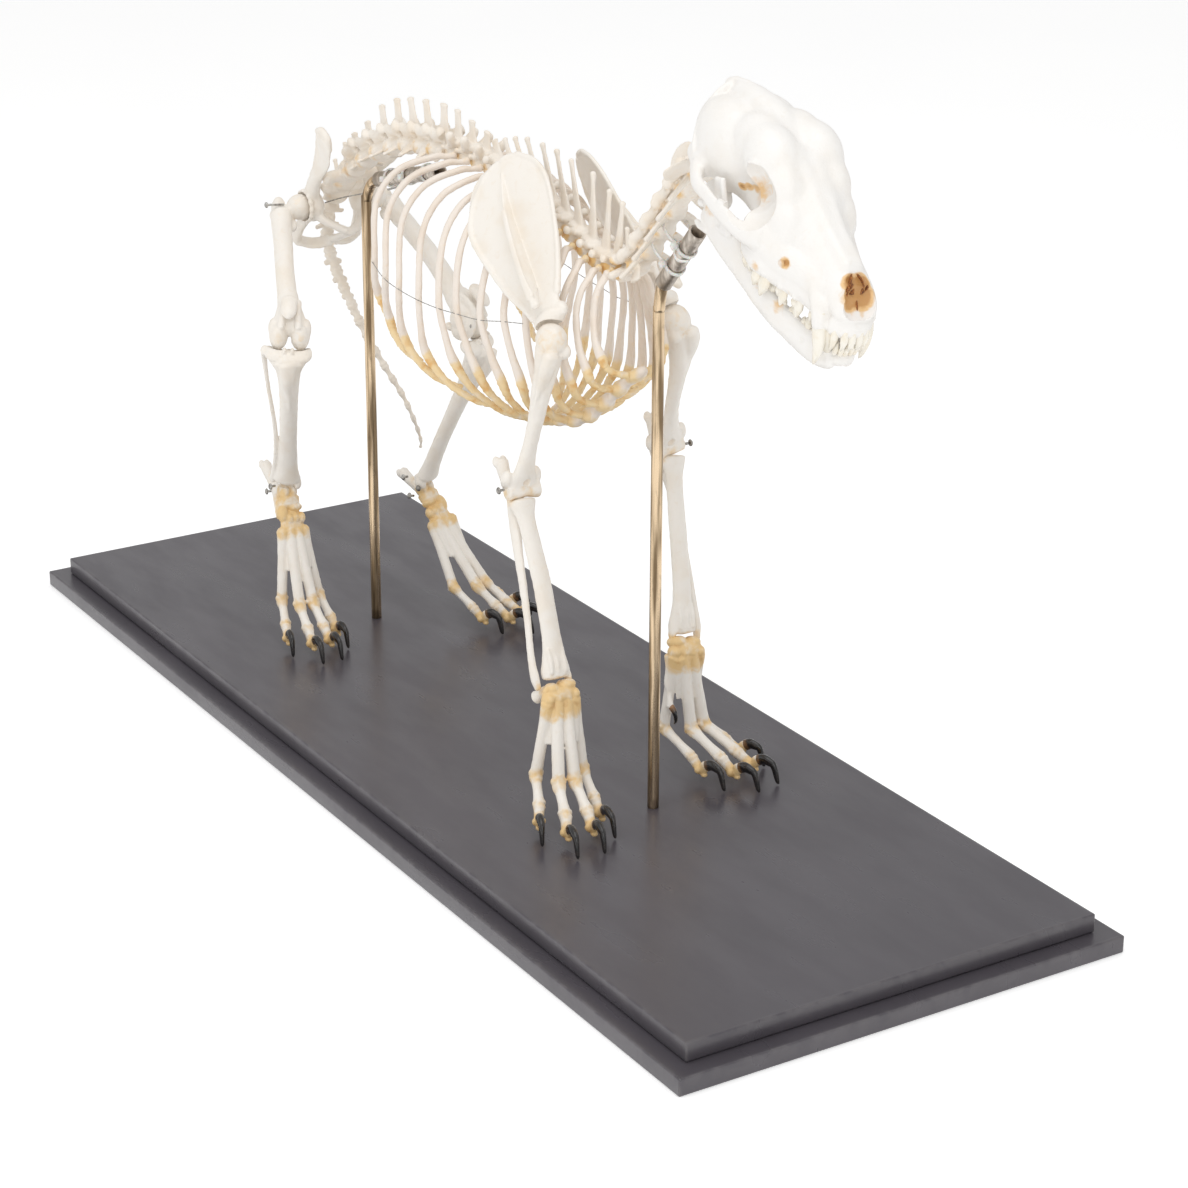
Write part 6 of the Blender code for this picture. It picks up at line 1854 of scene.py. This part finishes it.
def jaw_bone():
    forms = []
    frame, _, run = skull_tools(forms)
    for side in (-1, 1):
        body = [
            (188, side * 6, -27, 4.8, 8.2),
            (178, side * 8.6, -29, 4.5, 10.4),
            (166, side * 11.6, -29.6, 4.4, 10.8),
            (150, side * 15.4, -28, 4.4, 11),
            (136, side * 19, -26, 4.4, 11),
            (122, side * 22, -22.6, 4.3, 11),
            (108, side * 24.6, -18.4, 4.1, 11),
            (94, side * 27, -14, 3.8, 11.6),
            (82, side * 29, -10.4, 3.2, 12.2),
            (70, side * 30.6, -7, 2.8, 12.6),
            (60, side * 31.4, -4.6, 2.6, 11),
            (53, side * 32, -3, 2.6, 8.6),
        ]
        run(body)
        # Sharp lower rear hook
        run([(60, side * 31.4, -13, 3.4, 3), (52, side * 32, -15, 2.8, 2.4),
             (46.5, side * 32.4, -14.5, 1.8, 1.6)], sides=14)
        horn = [(76, side * 31.2, -4, 13, 2.4), (72, side * 33, 7, 11, 1.7),
                (68.5, side * 34.4, 18, 8.2, 1.5), (64, side * 35, 29, 5.6, 1.6)]
        run(horn, wide=(1, 0, 0))
        run([(84, side * 31, -2, 2.6, 2.2), (80, side * 33.4, 8, 2.4, 2), (75, side * 34.8, 20, 2.2, 1.9),
             (68, side * 35.2, 31, 2, 1.8)], sides=12)
        run([(56, side * 29, 5.5, 3.4, 3.0), (56, side * 34, 5.9, 3.5, 3.1),
             (56, side * 39, 6, 3.4, 3.0)], wide=(1, 0, 0), sides=16)
        run([(58, side * 33, 4, 6, 3), (62, side * 32, -8, 9, 2.6)], wide=(1, 0, 0), sides=16)
        run([(177, side * 8.4, -26, 4.6, 4.4), (185, side * 9.4, -21, 4.6, 4.8)], wide=(0, 1, 0), sides=16)
    run([(192, 0, -25, 8, 6), (182, 0, -28, 8, 8), (168, 0, -31, 7, 6.4)], sides=18)
    sockets = []
    for side in (-1, 1):
        sockets.append((frame.at(167, side * 17.4, -27), 2.6))
        sockets.append((frame.at(155, side * 20, -27), 1.9))
        sockets.append((frame.at(72, side * 40, 0), 7.2))
    sockets.append((frame.at(199.5, 0, -32), 3.2))
    grown("mandible_fine", forms, HEAD, 0.85, 3, sockets, (), 0.14)
    lower_teeth(frame)


def lower_teeth(frame):
    forms, roots = [], []
    for side in (-1, 1):
        for u, v in ((195, 1.9), (194.4, 5.2), (192.4, 8.2)):
            tooth(forms, roots, frame, (u, side * v, -19), (u + 0.8, side * v, -11.5), 1.9, 2.0)
        tooth(forms, roots, frame, (186.5, side * 10.6, -17), (190.5, side * 14.2, 1.5), 4.2, 3.7, -1.2)
        for u, v in ((174, 10.4), (164, 12.4), (152, 15), (140, 17.6)):
            tooth(forms, roots, frame, (u, side * v, -18.5 + (174 - u) * 0.05), (u, side * v, -11.5), 3.9,
                  1.9)
            tooth(forms, roots, frame, (u - 4, side * (v + 0.9), -18), (u - 3.6, side * (v + 0.9), -14),
                  2.2, 1.6)
        tooth(forms, roots, frame, (128, side * 20.4, -13.5), (128, side * 20.6, -3.5), 4.6, 2.4)
        tooth(forms, roots, frame, (121, side * 21.8, -12), (121, side * 22, -3.5), 4.4, 2.4)
        for u, v, w in ((112, 23.4, -5), (104, 24.8, -3.5), (97, 26, -3)):
            tooth(forms, roots, frame, (u, side * v, w - 5), (u, side * v, w), 3.2, 2.6)
    tooth_row("lower_teeth", forms, roots)


def rounded_board(name, length, width, bottom, thickness):
    """A board with eased edges, split finely enough that its worn edges can be painted."""
    mesh = bpy.data.meshes.new(name)
    work = bmesh.new()
    bmesh.ops.create_cube(work, size=1)
    bmesh.ops.scale(work, vec=(length * MM, width * MM, thickness * MM), verts=work.verts)
    bmesh.ops.translate(work, vec=(0, 0, (bottom + thickness / 2) * MM), verts=work.verts)
    bmesh.ops.bevel(work, geom=work.edges[:], offset=BOARD_CHAMFER * MM, segments=3, profile=0.5,
                    affect="EDGES")
    for axis, half, count in ((0, length / 2, 40), (1, width / 2, 16)):
        normal = Vector((1, 0, 0)) if axis == 0 else Vector((0, 1, 0))
        for share in np.linspace(-1, 1, count + 2)[1:-1]:
            geometry = work.verts[:] + work.edges[:] + work.faces[:]
            at = normal * (share * half * MM)
            bmesh.ops.bisect_plane(work, geom=geometry, plane_co=at, plane_no=normal)
        for inset in (BOARD_CHAMFER, 3.5):
            for turn in (-1, 1):
                geometry = work.verts[:] + work.edges[:] + work.faces[:]
                at = normal * (turn * (half - inset) * MM)
                bmesh.ops.bisect_plane(work, geom=geometry, plane_co=at, plane_no=normal)
    work.to_mesh(mesh)
    work.free()
    obj = bpy.data.objects.new(name + "_finish", mesh)
    bpy.context.scene.collection.objects.link(obj)
    obj.data.materials.append(LACQUER)
    mesh.shade_smooth()
    mesh.set_sharp_from_angle(angle=math.radians(50))
    points = np.array([v.co for v in mesh.vertices]) / MM
    top = bottom + thickness
    sides = np.stack([length / 2 - np.abs(points[:, 0]), width / 2 - np.abs(points[:, 1]),
                      top - points[:, 2]], 1)
    near = np.sort(sides, axis=1)[:, :2].sum(1)
    note(mesh, "worn", np.clip(1 - near / 1.6, 0, 1) * 0.9)
    dress(obj, (name,))


def bar(points, radius, forms, sides=28, steps=6, dome=0.25):
    loft(forms, [(*p, radius, radius) for p in points], sides=sides, steps=steps, dome=dome)


def wire(points, radius, forms, steps=8):
    """A thin round wire through the points."""
    spread = np.ptp(np.array(points, float), axis=0)
    wide = np.eye(3)[int(spread.argmin())]
    loft(forms, [(*p, radius, radius) for p in points], wide=wide, sides=10, steps=steps, dome=0.4)


def post(name, x, tube):
    """A round bar that stands on the board and bends forward into the tube's lower end."""
    start, end = (np.array(p, float) for p in tube)
    along = unit(end - start)
    corner = np.array([x, 0, start[2] - along[2] / along[0] * (start[0] - x)])
    below = corner - np.array([0, 0, 26.0])
    after = start + along
    points = [np.array([x, 0, GAP]), np.array([x, 0, 60.0]), below * 0.5 + np.array([x, 0, 60.0]) * 0.5,
              below]
    for t in (0.25, 0.5, 0.75, 1.0):
        points.append(below * (1 - t) ** 2 + corner * 2 * t * (1 - t) + after * t * t)
    points.append(start + along * TUBE_ENTRY)
    forms = []
    bar(points, POST_RADIUS, forms)
    merged(name + "_finish", forms, BRASS, (name,))


def pipe(name, tube, sides=40):
    """A thin-walled tube with eased rims and an open bore."""
    start, end = (np.array(p, float) for p in tube)
    along = unit(end - start)
    across = np.array([0, 1.0, 0])
    depth = np.cross(along, across)
    length = np.linalg.norm(end - start)
    ease = 0.35
    profile = [(0, TUBE_BORE + ease), (0, TUBE_RADIUS - ease), (ease, TUBE_RADIUS),
               (length * 0.3, TUBE_RADIUS)]
    profile += [(length * 0.8, TUBE_RADIUS), (length - ease, TUBE_RADIUS), (length, TUBE_RADIUS - ease)]
    profile += [(length, TUBE_BORE + ease), (length - ease, TUBE_BORE), (length * 0.5, TUBE_BORE),
                (ease, TUBE_BORE)]
    verts, faces = [], []
    for s, radius in profile:
        for k in range(sides):
            turn = 2 * math.pi * k / sides
            verts.append(start + along * s + (across * math.cos(turn) + depth * math.sin(turn)) * radius)
    rings = len(profile)
    for r in range(rings):
        for k in range(sides):
            t, n = (k + 1) % sides, (r + 1) % rings
            faces.append((r * sides + k, r * sides + t, n * sides + t, n * sides + k))
    obj = mesh_object(name + "_finish", place(verts), faces, STEEL)
    obj.data.set_sharp_from_angle(angle=math.radians(50))
    dress(obj, (name,))


def ring_form(forms, centre, axis, first, radius, squash=1.0, sides=40):
    """The strap of a cable tie: a flat band round an axis, squashed along its first direction."""
    wide, thick = TIE_STRAP
    second = np.cross(axis, first)
    verts, faces = [], []
    for k in range(sides):
        turn = 2 * math.pi * k / sides
        ray = first * math.cos(turn) * squash + second * math.sin(turn)
        for dr, da in ((-thick, -wide), (thick, -wide), (thick, wide), (-thick, wide)):
            verts.append(np.asarray(centre) + ray * (radius + dr) + axis * da)
    for k in range(sides):
        n = (k + 1) % sides
        for c in range(4):
            d = (c + 1) % 4
            faces.append((k * 4 + c, k * 4 + d, n * 4 + d, n * 4 + c))
    forms.append((np.array(verts), faces))


def box_form(forms, centre, axes, sizes):
    """A small block with trimmed corners, such as a tie's locking head."""
    axes = np.array([unit(a) for a in axes])
    half = np.array(sizes) / 2
    verts, faces = [], []
    for z, trim in ((-1, 0.8), (-0.75, 1.0), (0.75, 1.0), (1, 0.8)):
        for x, y in ((-1, -0.7), (-0.7, -1), (0.7, -1), (1, -0.7), (1, 0.7), (0.7, 1), (-0.7, 1),
                     (-1, 0.7)):
            verts.append(np.array(centre) + (np.array([x * trim, y * trim, z]) * half) @ axes)
    for r in range(3):
        for s in range(8):
            t = (s + 1) % 8
            faces.append((r * 8 + s, r * 8 + t, (r + 1) * 8 + t, (r + 1) * 8 + s))
    faces.append(tuple(range(7, -1, -1)))
    faces.append(tuple(range(24, 32)))
    forms.append((np.array(verts), faces))


def screw_head(forms, centre, axis, radius=2.6):
    """A domed pan head on a short shank."""
    axis = unit(axis)
    centre = np.array(centre, float)
    wide = (0, 0, 1) if abs(axis[2]) < 0.8 else (1, 0, 0)
    loft(forms, [(*(centre - axis * 4), 1.0, 1.0), (*centre, 1.0, 1.0)], wide=wide, sides=12, steps=2,
         dome=0)
    rows = [(*centre, radius, radius), (*(centre + axis * 0.8), radius, radius),
            (*(centre + axis * 1.5), radius * 0.72, radius * 0.72)]
    loft(forms, rows, wide=wide, sides=18, steps=2, dome=0.3)


def studio():
    """Camera at the photograph's angle, a pale floor and soft light from above and both sides."""
    yaw, pitch, roll = (math.radians(a) for a in CAMERA_TURN)
    forward = np.array([math.cos(pitch) * math.cos(yaw), math.cos(pitch) * math.sin(yaw), math.sin(pitch)])
    right = unit(np.cross(forward, (0, 0, 1)))
    up = np.cross(right, forward)
    level_right = right * math.cos(roll) + up * math.sin(roll)
    level_up = up * math.cos(roll) - right * math.sin(roll)
    lens = bpy.data.cameras.new("camera")
    lens.sensor_width = SENSOR
    lens.lens = CAMERA_FOCUS / FRAME_PIXELS * SENSOR
    lens.clip_start = 0.05
    lens.clip_end = 50
    camera = bpy.data.objects.new("camera", lens)
    turn = Matrix([level_right, level_up, -forward]).transposed().to_4x4()
    camera.matrix_world = Matrix.Translation(np.array(CAMERA_PLACE) * MM) @ turn
    bpy.context.scene.collection.objects.link(camera)
    bpy.context.scene.camera = camera

    floor = mesh_object("floor", *floor_grid(), FLOOR)

    world = bpy.data.worlds.new("Studio")
    world.use_nodes = True
    world.node_tree.nodes["Background"].inputs["Color"].default_value = (1.0, 1.0, 1.0, 1.0)
    world.node_tree.nodes["Background"].inputs["Strength"].default_value = WORLD_LIGHT
    bpy.context.scene.world = world
    for name, place_at, aim, size, power in LAMPS:
        lamp = bpy.data.lights.new(name, "AREA")
        lamp.shape = "RECTANGLE"
        lamp.size, lamp.size_y = size
        lamp.energy = power
        obj = bpy.data.objects.new(name, lamp)
        aim_way = Vector(aim) - Vector(place_at)
        obj.location = place_at
        obj.rotation_euler = aim_way.to_track_quat("-Z", "Y").to_euler()
        bpy.context.scene.collection.objects.link(obj)


def floor_grid(half=6.0, steps=12):
    ticks = np.linspace(-half, half, steps + 1)
    verts = [(x, y, 0.0) for y in ticks for x in ticks]
    row = steps + 1
    faces = [(r * row + c, r * row + c + 1, (r + 1) * row + c + 1, (r + 1) * row + c)
             for r in range(steps) for c in range(steps)]
    return verts, faces


def ties():
    """White nylon ties that hold the neck and the loins to their tubes."""
    forms = []
    start, end = (np.array(p, float) for p in FRONT_TUBE)
    along = unit(end - start)
    side = np.array([0, 1.0, 0])
    up = unit(np.cross(along, side))
    up = up if up[2] > 0 else -up
    for share, curl in ((0.34, False), (0.68, True)):
        centre = start + (end - start) * share
        ring_form(forms, centre, along, side, TUBE_RADIUS + TIE_GAP)
        ring_form(forms, centre + up * 16, along, side, 15.5, 0.62)
        box_form(forms, centre + side * -8.6 + up * 3.5, (side, along, up), TIE_HEAD)
        if curl:
            tail = [centre + side * -9 + up * 2, centre + side * -13 + up * -4 + along * 2,
                    centre + side * -14 + up * -11 + along * 5,
                    centre + side * -10 + up * -15 + along * 9]
            loft(forms, [(*p, TIE_STRAP[0], 0.5) for p in tail], wide=along, sides=8, steps=6, dome=0.2)
    start, end = (np.array(p, float) for p in REAR_TUBE)
    along = unit(end - start)
    up = np.array([0, 0, 1.0])
    for share in (0.22, 0.52, 0.82):
        centre = start + (end - start) * share
        ring_form(forms, centre, along, side, TUBE_RADIUS + TIE_GAP)
        box_form(forms, centre + side * -8.4, (side, along, up), TIE_HEAD)
    merged("nylon_ties", forms, NYLON)


def pins():
    """Steel pins and screw heads at the joints."""
    forms = []
    for point, axis in PIN_HEADS:
        screw_head(forms, point, axis)
    for _, side, i in SIDES:
        hip = np.array(HIP[i], float)
        pin = [(*(hip + [0, side * 14, 4]), HIP_PIN_RADIUS, HIP_PIN_RADIUS),
               (*(hip + [-2, side * 29, 5]), HIP_PIN_RADIUS, HIP_PIN_RADIUS)]
        loft(forms, pin, wide=(0, 0, 1), sides=12, steps=2)
        screw_head(forms, hip + [-2, side * 28, 5], (-0.1, side, 0.05), 2.4)
    merged("joint_pins", forms, PIN_STEEL)


def wires():
    """The thin wire that spaces the ribs of each side and the one from the hip to the rear post."""
    forms = []
    for _, side, _ in SIDES:
        points = []
        for number in range(4, 13):
            rows, _ = rib_rows(number)
            middle, lower = np.array(rows[5][:3]), np.array(rows[6][:3])
            point = middle * 0.8 + lower * 0.2
            points.append((point[0], side * (point[1] + 2.6), point[2]))
        wire(points, RIB_WIRE_RADIUS, forms)
    wire([(-282, -13, 352), (-258, -9, 361), (REAR_POST_X + 1, -3, 369)], HIP_WIRE_RADIUS, forms)
    merged("rib_wires", forms, PIN_STEEL)


def main():
    lower_length = UPPER_BOARD[0] + 2 * LOWER_MARGIN
    lower_width = UPPER_BOARD[1] + 2 * LOWER_MARGIN
    rounded_board("base_lower_board", lower_length, lower_width, 0, LOWER_THICKNESS)
    rounded_board("base_upper_board", *UPPER_BOARD[:2], LOWER_THICKNESS + GAP, UPPER_BOARD[2])
    post("rear_post", REAR_POST_X, REAR_TUBE)
    post("front_post", FRONT_POST_X, FRONT_TUBE)
    pipe("rear_tube", REAR_TUBE)
    pipe("front_tube", FRONT_TUBE)
    skull_bone()
    jaw_bone()
    neck_spine()
    thoracic_spine()
    loin_spine()
    sacrum_bone()
    tail_bones()
    breastbone()
    pelvis_bone()
    for word, side, i in SIDES:
        for number in range(len(RIB_MIDDLES)):
            rib(f"{word}_rib_{number + 1:02d}", number, side)
        shoulder_blade(word, side, i)
        upper_arm(word, side, i)
        radius_bone(word, side, i)
        ulna_bone(word, side, i)
        fore_paw(word, side, i)
        thigh_bone(word, side, i)
        kneecap(word, side, i)
        shin_bones(word, side, i)
        hind_paw(word, side, i)
    ties()
    pins()
    wires()
    studio()


main()
bpy.context.scene.view_settings.view_transform = "Standard"
